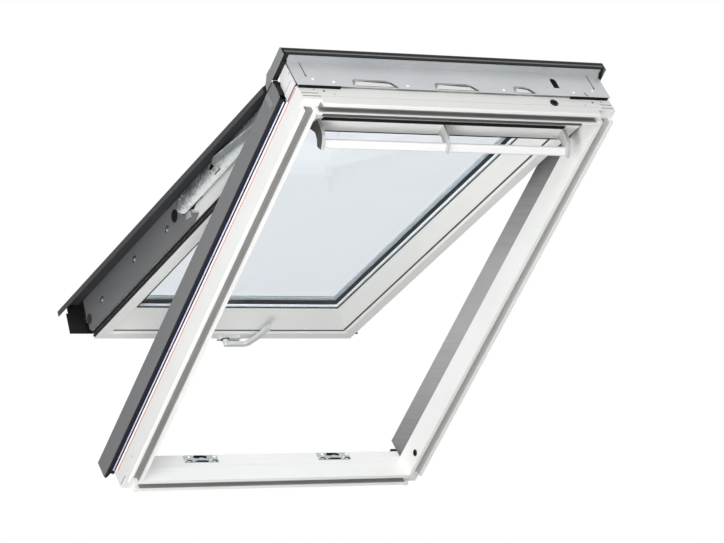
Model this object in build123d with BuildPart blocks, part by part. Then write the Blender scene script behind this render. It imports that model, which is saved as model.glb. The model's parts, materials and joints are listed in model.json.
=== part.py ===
from build123d import *
import math
import os

os.makedirs("parts", exist_ok=True)

# Driving sizes of the window, in millimetres and degrees
frame_width = 780
frame_height = 1178
roof_pitch = 45
opening_angle = 19.9
origin_level = 20
half_width = frame_width / 2

# Frame rails, seen from the room: an outer ridge, a groove and an inner lip
rail_width = 38
top_rail_width = 31
bottom_rail_width = 36
lip_level = -14.5
ridge_width = 8.5
lip_width = 9
edge_chamfer = 2.5
shoulder_level = 46
corner_block = 29
inner_face = half_width - rail_width
top_rail_face = frame_height - top_rail_width
bottom_apron_level = 45
bottom_upstand_level = 64
top_rail_level = 103.8

# Side channel of the frame, in which the arms lie when the window is shut
wall_in = half_width - 22
wall_thickness = 2
wall_level = 118
cladding_out = half_width + 12
cladding_low = 60
cladding_high = 105
cladding_start = -29
cladding_end = frame_height - 48
sheet = 1.2
channel_start = 14

# Top hinge of the arms and centre pivot of the sash
hinge_s = frame_height - 38
hinge_n = 115
sash_height = frame_height - 78
hinge_e = sash_height - 1.4
hinge_w = 92.8
pivot_e = sash_height / 2
pivot_w = 73
pin_radius = 5
pivot_radius = 8
running_gap = 0.05

# Sash
sash_half = half_width - 45.3
sash_flat = 29
stile_width = 73.7
cross_rail_width = 92.6
sash_depth = 74
slope_depth = 35.7
pane_level = 37
pane_thickness = 4
spacer_depth = 16
glazing_inset = 61

# Arms, struts and their cover
arm_in = half_width - 37
arm_out = half_width - 28
arm_low = 50
arm_high = 97
arm_sheet = 2
strut_length = 320
strut_s = frame_height - 98
strut_n = 92
strut_rest = 25.65
strut_in = wall_in - 5
strut_out = wall_in - 1.5
strut_pin_radius = 3
slot_half = 7.5
cover_out = half_width + 15
cover_low = 75
cover_bend = 88
cover_high = 102
cover_flat = half_width - 5
cover_split = pivot_e - 85
cover_end = hinge_e - 45.6

up_slope = Vector(0, -math.cos(math.radians(roof_pitch)), math.sin(math.radians(roof_pitch)))
outward = Vector(0, math.sin(math.radians(roof_pitch)), math.cos(math.radians(roof_pitch)))
lean = math.radians(opening_angle)
sash_up = up_slope * math.cos(lean) - outward * math.sin(lean)
sash_out = up_slope * math.sin(lean) + outward * math.cos(lean)
room_origin = outward * -origin_level
hinge_point = room_origin + up_slope * hinge_s + outward * hinge_n
sash_origin = hinge_point - sash_up * hinge_e - sash_out * hinge_w
right_way = Vector(1, 0, 0)


# Planes of the frame: across a rail, along the side, and facing the room
def across(s):
    return Plane(origin=room_origin + up_slope * s, x_dir=right_way, z_dir=up_slope)


def along(x):
    return Plane(origin=room_origin + right_way * x, x_dir=up_slope, z_dir=(-1, 0, 0))


def facing(n):
    return Plane(origin=room_origin + outward * n, x_dir=right_way, z_dir=-outward)


# The same three planes for the sash, which stands open by the opening angle
def sash_across(e):
    return Plane(origin=sash_origin + sash_up * e, x_dir=right_way, z_dir=sash_up)


def sash_along(x):
    return Plane(origin=sash_origin + right_way * x, x_dir=sash_up, z_dir=(-1, 0, 0))


def sash_facing(w):
    return Plane(origin=sash_origin + sash_out * w, x_dir=right_way, z_dir=-sash_out)


def mirrored(points, way):
    return [(way * x, y) for x, y in points]


# Plane on one side of the window, from which a piece grows outwards or inwards by its thickness
def outer_of(plane_at, inner, outer, way):
    return plane_at(outer) if way > 0 else plane_at(-inner)


def save(piece, name):
    piece.part.label = name
    export_step(piece.part, f"parts/{name}.step")


sides = (("left", -1), ("right", 1))

# Side rails of the frame, one moulding each with its ridge, groove, lip and top corner block
for side, way in sides:
    with BuildPart() as side_rail:
        with BuildSketch(across(0)):
            with BuildLine():
                Polyline(
                    *mirrored(
                        [
                            (half_width, lip_level + edge_chamfer),
                            (half_width - edge_chamfer, lip_level),
                            (half_width - ridge_width, lip_level),
                            (half_width - ridge_width - 1, 0),
                            (inner_face + lip_width + 1, 0),
                            (inner_face + lip_width, lip_level),
                            (inner_face, lip_level),
                            (inner_face, shoulder_level),
                            (half_width, shoulder_level),
                            (half_width, 41.5),
                            (half_width - 1.5, 41.5),
                            (half_width - 1.5, 38.5),
                            (half_width, 38.5),
                        ],
                        way,
                    ),
                    close=True,
                )
            make_face()
        extrude(amount=frame_height)
        # Recessed blocks where the ridges stop short of the corners
        with BuildSketch(facing(0)):
            with BuildLine():
                Polyline(
                    *mirrored(
                        [
                            (half_width, 0),
                            (half_width, corner_block + 3),
                            (inner_face + lip_width + 1, corner_block + 3),
                            (inner_face + lip_width + 1, bottom_rail_width - lip_width),
                            (inner_face, bottom_rail_width - lip_width),
                            (inner_face, ridge_width),
                            (inner_face + lip_width, ridge_width),
                            (inner_face + lip_width, 0),
                        ],
                        way,
                    ),
                    close=True,
                )
            make_face()
            with BuildLine():
                Polyline(
                    *mirrored(
                        [
                            (half_width, frame_height),
                            (half_width, frame_height - 22),
                            (inner_face + lip_width + 1, frame_height - 22),
                            (inner_face, frame_height - 22),
                            (inner_face, frame_height),
                        ],
                        way,
                    ),
                    close=True,
                )
            make_face()
        extrude(amount=-lip_level + 1, mode=Mode.SUBTRACT)
        # Raised block at the top corner, outside the channel
        with BuildSketch(outer_of(along, wall_in + wall_thickness + 0.5, half_width, way)):
            with BuildLine():
                Polyline(
                    (cladding_end, shoulder_level - 1),
                    (frame_height, shoulder_level - 1),
                    (frame_height, 108),
                    (cladding_end + 17, 108),
                    (cladding_end, 84),
                    close=True,
                )
            make_face()
        extrude(amount=half_width - wall_in - wall_thickness - 0.5)
    save(side_rail, f"side_rail_{side}")

# Bottom rail of the frame, with an upstand and two pockets for the strikers
striker_centres = (-180, 172)
striker_half = 44
with BuildPart() as bottom_rail:
    with BuildSketch(along(inner_face)):
        with BuildLine():
            Polyline(
                (0, lip_level + edge_chamfer),
                (edge_chamfer, lip_level),
                (ridge_width, lip_level),
                (ridge_width + 1, 0),
                (bottom_rail_width - lip_width - 1, 0),
                (bottom_rail_width - lip_width, lip_level),
                (bottom_rail_width, lip_level),
                (bottom_rail_width, 29),
                (bottom_rail_width - 1.5, 31),
                (bottom_rail_width - 1.5, bottom_upstand_level),
                (22, bottom_upstand_level),
                (22, bottom_apron_level),
                (0, bottom_apron_level),
                close=True,
            )
        make_face()
    extrude(amount=2 * inner_face)
    with BuildSketch(across(bottom_rail_width - 4.5)):
        for centre in striker_centres:
            with Locations((centre, 53)):
                Rectangle(2 * striker_half, 26)
    extrude(amount=10, mode=Mode.SUBTRACT)
save(bottom_rail, "bottom_rail")

# Striker plates, let into the bottom rail, with a raised keeper and two screws each
for (side, way), centre in zip(sides, striker_centres):
    with BuildPart() as striker:
        with BuildSketch(across(bottom_rail_width - 4.5)):
            with Locations((centre, 53)):
                RectangleRounded(2 * striker_half - 1, 25, 6)
                Rectangle(22, 9, mode=Mode.SUBTRACT)
        extrude(amount=1.5)
        with BuildSketch(across(bottom_rail_width - 3)):
            with Locations((centre - 16, 53), (centre + 16, 53)):
                RectangleRounded(7, 16, 2)
        extrude(amount=1.2)
        with BuildSketch(across(bottom_rail_width - 3)):
            with Locations((centre - 33, 53), (centre + 33, 53)):
                Circle(4)
        extrude(amount=0.9)
    save(striker, f"striker_{side}")

# Top rail of the frame
grommet_place = (half_width - 151.5, 18)
with BuildPart() as top_rail:
    with BuildSketch(along(inner_face)):
        with BuildLine():
            Polyline(
                (top_rail_face, lip_level),
                (top_rail_face + 6, lip_level),
                (top_rail_face + 7, 0),
                (frame_height - ridge_width, 0),
                (frame_height - ridge_width + 0.5, lip_level),
                (frame_height - edge_chamfer, lip_level),
                (frame_height, lip_level + edge_chamfer),
                (frame_height, 9.5),
                (frame_height - 1, 10),
                (frame_height, 10.5),
                (frame_height, top_rail_level),
                (top_rail_face + 6, top_rail_level),
                (top_rail_face, 96),
                close=True,
            )
        make_face()
    extrude(amount=2 * inner_face)
    with BuildSketch(facing(0)):
        for way in (-1, 1):
            with BuildLine():
                Polyline(
                    (way * inner_face, frame_height),
                    (way * inner_face, frame_height - 22),
                    (way * (inner_face - 12), frame_height - 22),
                    (way * (inner_face - 6), frame_height),
                    close=True,
                )
            make_face()
    extrude(amount=-lip_level + 1, mode=Mode.SUBTRACT)
    # Bore of the cable grommet
    with BuildSketch(across(frame_height)):
        with Locations(grommet_place):
            Circle(7)
    extrude(amount=-12, mode=Mode.SUBTRACT)
save(top_rail, "top_rail")

with BuildPart() as grommet:
    with BuildSketch(across(frame_height)):
        with Locations(grommet_place):
            Circle(7)
            Circle(4.5, mode=Mode.SUBTRACT)
    extrude(amount=-11)
    with BuildSketch(across(frame_height)):
        with Locations(grommet_place):
            Circle(9.5)
            Circle(4.5, mode=Mode.SUBTRACT)
    extrude(amount=1.8)
save(grommet, "cable_grommet")

# Aluminium channel wall, cladding, gasket and trim strip down each side
for side, way in sides:
    with BuildPart() as channel_wall:
        with BuildSketch(across(channel_start)):
            with BuildLine():
                Polyline(
                    *mirrored(
                        [
                            (wall_in, shoulder_level),
                            (half_width - 1, shoulder_level),
                            (half_width - 1, shoulder_level + 2),
                            (wall_in + wall_thickness, shoulder_level + 2),
                            (wall_in + wall_thickness, wall_level),
                            (wall_in, wall_level),
                        ],
                        way,
                    ),
                    close=True,
                )
            make_face()
        extrude(amount=cladding_end - channel_start - 1)
        with BuildSketch(across(cladding_end - 2)):
            with BuildLine():
                Polyline(
                    *mirrored(
                        [
                            (wall_in, shoulder_level),
                            (wall_in + wall_thickness, shoulder_level),
                            (wall_in + wall_thickness, wall_level),
                            (wall_in, wall_level),
                        ],
                        way,
                    ),
                    close=True,
                )
            make_face()
        extrude(amount=frame_height - cladding_end + 2)
        # Stub on which the balance strut turns
        with BuildSketch(outer_of(along, strut_in - 0.5, wall_in, way)):
            with Locations((strut_s, strut_n)):
                Circle(4)
        extrude(amount=wall_in - strut_in + 0.5)
    save(channel_wall, f"channel_wall_{side}")

    with BuildPart() as side_cladding:
        with BuildSketch(outer_of(along, cladding_out - sheet, cladding_out, way)):
            with BuildLine():
                Polyline(
                    (cladding_start, cladding_low),
                    (cladding_start, cladding_high),
                    (cladding_end, cladding_high),
                    (cladding_end + 1.5, 76),
                    (cladding_end - 3, cladding_low),
                    close=True,
                )
            make_face()
        extrude(amount=sheet)
        with BuildSketch(across(channel_start)):
            with BuildLine():
                Polyline(
                    *mirrored(
                        [
                            (wall_in + wall_thickness, cladding_high - sheet),
                            (cladding_out, cladding_high - sheet),
                            (cladding_out, cladding_high),
                            (wall_in + wall_thickness, cladding_high),
                        ],
                        way,
                    ),
                    close=True,
                )
            make_face()
        extrude(amount=cladding_end - channel_start)
        with BuildSketch(across(cladding_start)):
            with BuildLine():
                Polyline(
                    *mirrored(
                        [
                            (cladding_out - 9, cladding_low),
                            (cladding_out, cladding_low),
                            (cladding_out, cladding_low + sheet),
                            (cladding_out - 9, cladding_low + sheet),
                        ],
                        way,
                    ),
                    close=True,
                )
            make_face()
        extrude(amount=cladding_end - cladding_start - 10)
    save(side_cladding, f"side_cladding_{side}")

    with BuildPart() as side_gasket:
        with BuildSketch(across(-6)):
            with BuildLine():
                Polyline(
                    *mirrored(
                        [
                            (half_width - 1, shoulder_level + 2),
                            (half_width + 4, shoulder_level + 2),
                            (cladding_out - 1.5, cladding_low - 3),
                            (cladding_out - 1.5, cladding_low),
                            (cladding_out - 9, cladding_low),
                            (half_width - 1, cladding_low - 4),
                        ],
                        way,
                    ),
                    close=True,
                )
            make_face()
        extrude(amount=cladding_end)
    save(side_gasket, f"side_gasket_{side}")

    with BuildPart() as side_trim:
        with BuildSketch(across(6)):
            with BuildLine():
                Polyline(
                    *mirrored(
                        [
                            (half_width, 41.8),
                            (half_width + 1.2, 42.5),
                            (half_width + 3.5, shoulder_level + 1.9),
                            (half_width, shoulder_level + 1.9),
                        ],
                        way,
                    ),
                    close=True,
                )
            make_face()
        extrude(amount=cladding_end - 6)
    save(side_trim, f"side_trim_{side}")

# Bush for the cleaning bolt, in the inner face of the right side rail
with BuildPart() as bolt_bush:
    with BuildSketch(along(inner_face)):
        with Locations((92, 4.6)):
            Circle(8)
            Circle(5, mode=Mode.SUBTRACT)
    extrude(amount=1.2)
save(bolt_bush, "bolt_bush")

# Silver plate over the top of the frame, with arched cut-outs, a keyhole and a pressed rib
plate_s = frame_height + 6
plate_half = half_width + 1
plate_low = 35
rib_x = plate_half - 158
with BuildPart() as top_plate:
    with BuildSketch(along(plate_half)):
        with BuildLine():
            Polyline(
                (plate_s, plate_low),
                (plate_s + sheet, plate_low),
                (plate_s + sheet, top_rail_level),
                (plate_s + 6, top_rail_level),
                (plate_s + 6, 106.8),
                (plate_s + 19, 106.8),
                (plate_s + 19, 108),
                (plate_s + 6 - sheet, 108),
                (plate_s + 6 - sheet, top_rail_level + sheet),
                (plate_s, top_rail_level + sheet),
                close=True,
            )
        make_face()
    extrude(amount=2 * plate_half)
    # Fixing flange on top of the top rail
    with BuildSketch(along(inner_face)):
        with Locations((frame_height - 10.5, top_rail_level + sheet / 2)):
            Rectangle(35, sheet)
    extrude(amount=2 * inner_face)
    with BuildSketch(across(plate_s - 1)):
        for start, end in ((140 - plate_half, 243 - plate_half), (-49, 53), (plate_half - 241, plate_half - 193)):
            with BuildLine():
                Polyline(
                    (start, plate_low + 3),
                    (end - 2, plate_low + 3),
                    (end, plate_low + 5),
                    (end - 12, plate_low + 17),
                    (end - 24, plate_low + 21),
                    (start + 6, plate_low + 21),
                    (start, plate_low + 17),
                    close=True,
                )
            make_face()
        with Locations((plate_half - 128.5, 71)):
            Rectangle(16.5, 25)
        with Locations((plate_half - 128.5, 83.2)):
            Circle(8.25)
        for way in (-1, 1):
            with Locations((way * (plate_half - 30), 64)):
                Circle(2.4)
            with Locations((way * (plate_half - 30), 84)):
                Rectangle(2.2, 39)
    extrude(amount=3.2, mode=Mode.SUBTRACT)
    with BuildSketch(across(plate_s + sheet)):
        with BuildLine():
            Polyline(
                (rib_x - 5, 102), (rib_x + 5, 102), (rib_x + 5, 66), (rib_x + 9, 60), (rib_x + 3, 60), (rib_x, 66),
                close=True,
            )
        make_face()
    extrude(amount=0.8)
    with BuildSketch(across(plate_s + sheet)):
        with Locations(
            (43 - plate_half, 54), (91 - plate_half, 47.6), (-121, 45), (120, 45.7),
            (plate_half - 91, 47), (plate_half - 38, 55.4),
        ):
            Circle(3.2)
    extrude(amount=0.8)
save(top_plate, "top_plate")

# Hood over the top of the window, its dark edge bar and the black end pieces
hood_half = half_width + 15
hood_front = frame_height + 27
with BuildPart() as hood:
    with BuildSketch(along(hood_half)):
        with BuildLine():
            Polyline(
                (hood_front - 68, 127.5),
                (hood_front - 0.3, 127.5),
                (hood_front - 0.3, 128.2),
                (hood_front - 1, 129),
                (hood_front - 68, 129),
                close=True,
            )
        make_face()
    extrude(amount=2 * hood_half)
    for way in (-1, 1):
        with BuildSketch(outer_of(along, hood_half - sheet, hood_half, way)):
            with BuildLine():
                Polyline(
                    (hood_front - 101, 106),
                    (hood_front, 106),
                    (hood_front, 128),
                    (hood_front - 25, 129),
                    (hood_front - 58, 129),
                    (hood_front - 68, 131),
                    (hood_front - 78, 131.5),
                    (hood_front - 86, 125),
                    (hood_front - 96, 120),
                    close=True,
                )
            make_face()
        extrude(amount=sheet)
save(hood, "hood")

with BuildPart() as hood_bar:
    with BuildSketch(along(hood_half - 5)):
        with BuildLine():
            Polyline(
                (hood_front - 15, 108),
                (hood_front - 1.5, 108),
                (hood_front, 109.5),
                (hood_front, 126),
                (hood_front - 1.5, 127.5),
                (hood_front - 15, 127.5),
                close=True,
            )
        make_face()
    extrude(amount=2 * hood_half - 10)
save(hood_bar, "hood_bar")

for side, way in sides:
    with BuildPart() as hood_end:
        with BuildSketch(outer_of(along, hood_half - 30, hood_half - 2, way)):
            with BuildLine():
                Polyline(
                    (hood_front - 19, 108.5),
                    (hood_front - 15.5, 108.5),
                    (hood_front - 15.5, 127.4),
                    (hood_front - 35, 127.4),
                    (hood_front - 35, 120),
                    close=True,
                )
            make_face()
        extrude(amount=28)
    save(hood_end, f"hood_end_{side}")

# Brackets that carry the top hinge, each with its own pin
bracket_in = wall_in - 4.5
bracket_out = wall_in - 0.2
for side, way in sides:
    with BuildPart() as hinge_bracket:
        with BuildSketch(outer_of(along, bracket_in, bracket_out, way)):
            with BuildLine():
                Polyline(
                    (hinge_s + 10, shoulder_level),
                    (hinge_s + 36, shoulder_level),
                    (hinge_s + 36, hinge_n + 3),
                    (hinge_s + 6, hinge_n + 10),
                    (hinge_s - 12, hinge_n + 6),
                    (hinge_s - 14, hinge_n - 7),
                    close=True,
                )
            make_face()
        extrude(amount=bracket_out - bracket_in)
        with BuildSketch(facing(shoulder_level)):
            with Locations((way * (bracket_out - 6.8), hinge_s + 23)):
                Rectangle(13.6, 26)
        extrude(amount=-4)
        with BuildSketch(outer_of(along, arm_in - 0.5, bracket_in + 1.5, way)):
            with Locations((hinge_s, hinge_n)):
                Circle(pin_radius)
        extrude(amount=bracket_in + 2 - arm_in)
    save(hinge_bracket, f"hinge_bracket_{side}")

# Arms between the top hinge and the centre pivot, pressed channels with a bulged web and rounded ends
arm_mid = (arm_low + arm_high) / 2
arm_edge = arm_out - 5.5
arm_back = arm_edge - arm_sheet
for side, way in sides:
    with BuildPart() as arm:
        with BuildSketch(sash_across(pivot_e - 30)):
            with BuildLine():
                Polyline(
                    *mirrored([(arm_back, arm_low + arm_sheet), (arm_in, arm_low + arm_sheet)], way),
                    *mirrored([(arm_in, arm_low), (arm_edge, arm_low)], way),
                )
                ThreePointArc((way * arm_edge, arm_low), (way * arm_out, arm_mid), (way * arm_edge, arm_high))
                Polyline(
                    *mirrored([(arm_edge, arm_high), (arm_edge, arm_high + 6)], way),
                    *mirrored([(arm_back, arm_high + 6), (arm_back, arm_high)], way),
                    *mirrored([(arm_in, arm_high), (arm_in, arm_high - arm_sheet)], way),
                    *mirrored([(arm_back, arm_high - arm_sheet)], way),
                )
                ThreePointArc(
                    (way * arm_back, arm_high - arm_sheet),
                    (way * (arm_out - arm_sheet), arm_mid),
                    (way * arm_back, arm_low + arm_sheet),
                )
            make_face()
        extrude(amount=hinge_e + 42 - pivot_e)
        # The outline cuts the pressed channel to length, rounded at the pivot and narrow at the hinge
        with BuildSketch(outer_of(sash_along, arm_in, arm_out, way)):
            with BuildLine():
                Polyline(
                    (pivot_e, arm_high),
                    (hinge_e - 60, arm_high),
                    (hinge_e - 30, hinge_w - 2),
                    (hinge_e - 10, hinge_w + 5),
                    (hinge_e, hinge_w + 8.5),
                    (hinge_e + 8, hinge_w + 4),
                    (hinge_e + 8, hinge_w - 5),
                    (hinge_e, hinge_w - 11),
                    (hinge_e - 50, arm_low),
                    (pivot_e, arm_low),
                )
                ThreePointArc((pivot_e, arm_low), (pivot_e - 23.5, arm_mid), (pivot_e, arm_high))
            make_face()
        extrude(amount=arm_out - arm_in, mode=Mode.INTERSECT)
        # Hinge hole, strut slot, and the holes pressed through the web
        with BuildSketch(sash_along(way * arm_out)):
            with Locations((hinge_e, hinge_w)):
                Circle(pin_radius + running_gap)
            with Locations((hinge_e - 361, hinge_w - 10)):
                SlotOverall(80, 2 * slot_half)
            with Locations((pivot_e + 104, arm_mid + 9.5)):
                Circle(4)
            with Locations((pivot_e + 178, arm_low + 10)):
                SlotOverall(32, 4)
        extrude(amount=20, both=True, mode=Mode.SUBTRACT)
        # Pivot pin that reaches into the bearing of the sash
        with BuildSketch(outer_of(sash_along, sash_half + 0.7, arm_out - 0.4, way)):
            with Locations((pivot_e, pivot_w)):
                Circle(pivot_radius)
        extrude(amount=arm_out - sash_half - 1.1)
    save(arm, f"arm_{side}")

    with BuildPart() as arm_cover:
        with BuildSketch(sash_across(cover_split + 1)):
            with BuildLine():
                Polyline(
                    *mirrored(
                        [
                            (cover_out - sheet, cover_low),
                            (cover_out, cover_low),
                            (cover_out, cover_bend),
                            (cover_flat, cover_high),
                            (arm_in, cover_high),
                            (arm_in, arm_high),
                            (arm_in + sheet, arm_high),
                            (arm_in + sheet, cover_high - sheet),
                            (cover_flat - 0.5, cover_high - sheet),
                            (cover_out - sheet, cover_bend - 0.8),
                        ],
                        way,
                    ),
                    close=True,
                )
            make_face()
        extrude(amount=cover_end - cover_split - 1)
    save(arm_cover, f"arm_cover_{side}")

# Balance struts, from the frame to the slot in the arm
strut_angle = math.radians(strut_rest)
strut_dir = (-math.cos(strut_angle), math.sin(strut_angle))
strut_side = (math.sin(strut_angle), math.cos(strut_angle))


def on_strut(u, v):
    return (
        strut_s + strut_dir[0] * u + strut_side[0] * v,
        strut_n + strut_dir[1] * u + strut_side[1] * v,
    )


for side, way in sides:
    with BuildPart() as strut:
        with BuildSketch(outer_of(along, strut_in, strut_in + 1.5, way)):
            with BuildLine():
                Line(on_strut(0, 12), on_strut(strut_length, 10))
                ThreePointArc(on_strut(strut_length, 10), on_strut(strut_length + 10, 0), on_strut(strut_length, -10))
                Line(on_strut(strut_length, -10), on_strut(0, -12))
                ThreePointArc(on_strut(0, -12), on_strut(-12, 0), on_strut(0, 12))
            make_face()
        extrude(amount=1.5)
        for low, high in ((8.5, 10), (-10, -8.5)):
            with BuildSketch(outer_of(along, strut_in + 1, strut_out, way)):
                with BuildLine():
                    Polyline(
                        on_strut(16, low), on_strut(strut_length - 4, low),
                        on_strut(strut_length - 4, high), on_strut(16, high), close=True,
                    )
                make_face()
            extrude(amount=strut_out - strut_in - 1)
        with BuildSketch(outer_of(along, strut_in - 5, strut_in + 1, way)):
            with Locations(on_strut(strut_length, 0)):
                Circle(strut_pin_radius)
        extrude(amount=6)
        with BuildSketch(outer_of(along, strut_in - 1, strut_out, way)):
            with Locations((strut_s, strut_n)):
                Circle(4 + running_gap)
        extrude(amount=strut_out - strut_in + 1, mode=Mode.SUBTRACT)
    save(strut, f"balance_strut_{side}")

# Sash stiles and rails, bevelled towards the glass and mitred at the corners
stile_profile = [
    (0, 0),
    (sash_flat - 2, 0),
    (sash_flat - 1, 0.8),
    (sash_flat, 0),
    (sash_flat + 1, 2.5),
]


def corner_cut(way_x, low):
    e0 = 0 if low else sash_height
    e1 = cross_rail_width if low else sash_height - cross_rail_width
    return [(way_x * sash_half, e0), (way_x * (sash_half - stile_width), e1)]


for side, way in sides:
    with BuildPart() as stile:
        with BuildSketch(sash_across(0)):
            with BuildLine():
                Polyline(
                    *mirrored(
                        [(sash_half - a, w) for a, w in stile_profile]
                        + [
                            (sash_half - stile_width, slope_depth),
                            (sash_half - stile_width, pane_level - 0.6),
                            (sash_half - glazing_inset + 1, pane_level - 0.6),
                            (sash_half - glazing_inset + 1, sash_depth),
                            (sash_half, sash_depth),
                        ],
                        way,
                    ),
                    close=True,
                )
            make_face()
        extrude(amount=sash_height)
        with BuildSketch(sash_facing(sash_depth + 1)):
            for low in (True, False):
                corner, inner = corner_cut(way, low)
                e_out = -1 if low else sash_height + 1
                slope = (inner[1] - corner[1]) / stile_width
                with BuildLine():
                    Polyline(
                        corner,
                        inner,
                        (way * (sash_half - stile_width - 1), inner[1] + slope),
                        (way * (sash_half - stile_width - 1), e_out),
                        (corner[0], e_out),
                        close=True,
                    )
                make_face()
        extrude(amount=sash_depth + 2, mode=Mode.SUBTRACT)
    save(stile, f"sash_stile_{side}")

for low in (True, False):
    sign = 1 if low else -1
    edge = 0 if low else sash_height
    with BuildPart() as cross_rail:
        with BuildSketch(sash_along(sash_half)):
            with BuildLine():
                Polyline(
                    *[(edge + sign * a, w) for a, w in stile_profile],
                    (edge + sign * cross_rail_width, slope_depth),
                    (edge + sign * cross_rail_width, pane_level - 0.6),
                    (edge + sign * (cross_rail_width - 12), pane_level - 0.6),
                    (edge + sign * (cross_rail_width - 12), sash_depth),
                    (edge, sash_depth),
                    close=True,
                )
            make_face()
        extrude(amount=2 * sash_half)
        with BuildSketch(sash_facing(sash_depth + 1)):
            for way in (-1, 1):
                corner, inner = corner_cut(way, low)
                slope = (inner[1] - corner[1]) / stile_width
                with BuildLine():
                    Polyline(
                        corner,
                        inner,
                        (inner[0] - way, inner[1] + slope),
                        (way * (sash_half + 1), inner[1] + slope),
                        (way * (sash_half + 1), edge),
                        close=True,
                    )
                make_face()
        extrude(amount=sash_depth + 2, mode=Mode.SUBTRACT)
        if low:
            # Groove in the lower edge for the lock rod
            with BuildSketch(sash_across(-1)):
                with Locations((-4, 31)):
                    Rectangle(430, 12)
            extrude(amount=9, mode=Mode.SUBTRACT)
    save(cross_rail, "sash_bottom_rail" if low else "sash_top_rail")

# Insulating glass unit: two panes, spacer frame, edge seal and gaskets
pane_half = sash_half - glazing_inset
pane_low = cross_rail_width - 11
pane_mid = sash_height / 2
pane_high = 2 * (pane_mid - pane_low)
for name, level in (("inner_pane", pane_level), ("outer_pane", pane_level + pane_thickness + spacer_depth)):
    with BuildPart() as pane:
        with BuildSketch(sash_facing(level)):
            with Locations((0, pane_mid)):
                Rectangle(2 * pane_half, pane_high)
        extrude(amount=-pane_thickness)
    save(pane, name)


def ring(level, depth, outer_half, outer_high, inner_half, inner_high):
    with BuildPart() as piece:
        with BuildSketch(sash_facing(level)):
            with Locations((0, pane_mid)):
                Rectangle(2 * outer_half, outer_high)
                Rectangle(2 * inner_half, inner_high, mode=Mode.SUBTRACT)
        extrude(amount=-depth)
    return piece


gap_level = pane_level + pane_thickness
spacer_outer = sash_half - 70
spacer_outer_high = sash_height - 2 * (cross_rail_width - 4)
save(
    ring(gap_level, spacer_depth, spacer_outer, spacer_outer_high, sash_half - 83, sash_height - 2 * 102),
    "spacer",
)
save(
    ring(gap_level, spacer_depth, pane_half, pane_high, spacer_outer, spacer_outer_high),
    "edge_seal",
)
save(
    ring(
        pane_level - 0.6, 0.6, pane_half, pane_high,
        sash_half - stile_width - 0.6, sash_height - 2 * (cross_rail_width + 0.6),
    ),
    "inner_gasket",
)
outer_level = gap_level + spacer_depth + pane_thickness
save(
    ring(outer_level, 2, pane_half, pane_high, sash_half - 90, sash_height - 2 * 109),
    "outer_gasket",
)

# Outer cover of the sash, a folded frame that holds the glass from outside
with BuildPart() as outer_cover:
    with BuildSketch(sash_facing(outer_level + 2)):
        with Locations((0, pane_mid)):
            Rectangle(2 * (sash_half - 62), pane_high - 3)
            Rectangle(2 * (sash_half - 88), sash_height - 2 * 107, mode=Mode.SUBTRACT)
    extrude(amount=-1.5)
    with BuildSketch(sash_facing(outer_level + 2)):
        with Locations((0, pane_mid)):
            Rectangle(2 * (sash_half - 62), pane_high - 3)
            Rectangle(2 * (sash_half - 63.5), pane_high - 6, mode=Mode.SUBTRACT)
    extrude(amount=-(sash_depth - outer_level))
    with BuildSketch(sash_facing(sash_depth)):
        with Locations((0, pane_mid)):
            Rectangle(2 * sash_half - 1, sash_height - 1)
            Rectangle(2 * (sash_half - 63.5), pane_high - 6, mode=Mode.SUBTRACT)
    extrude(amount=-2)
save(outer_cover, "sash_outer_cover")

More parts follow.
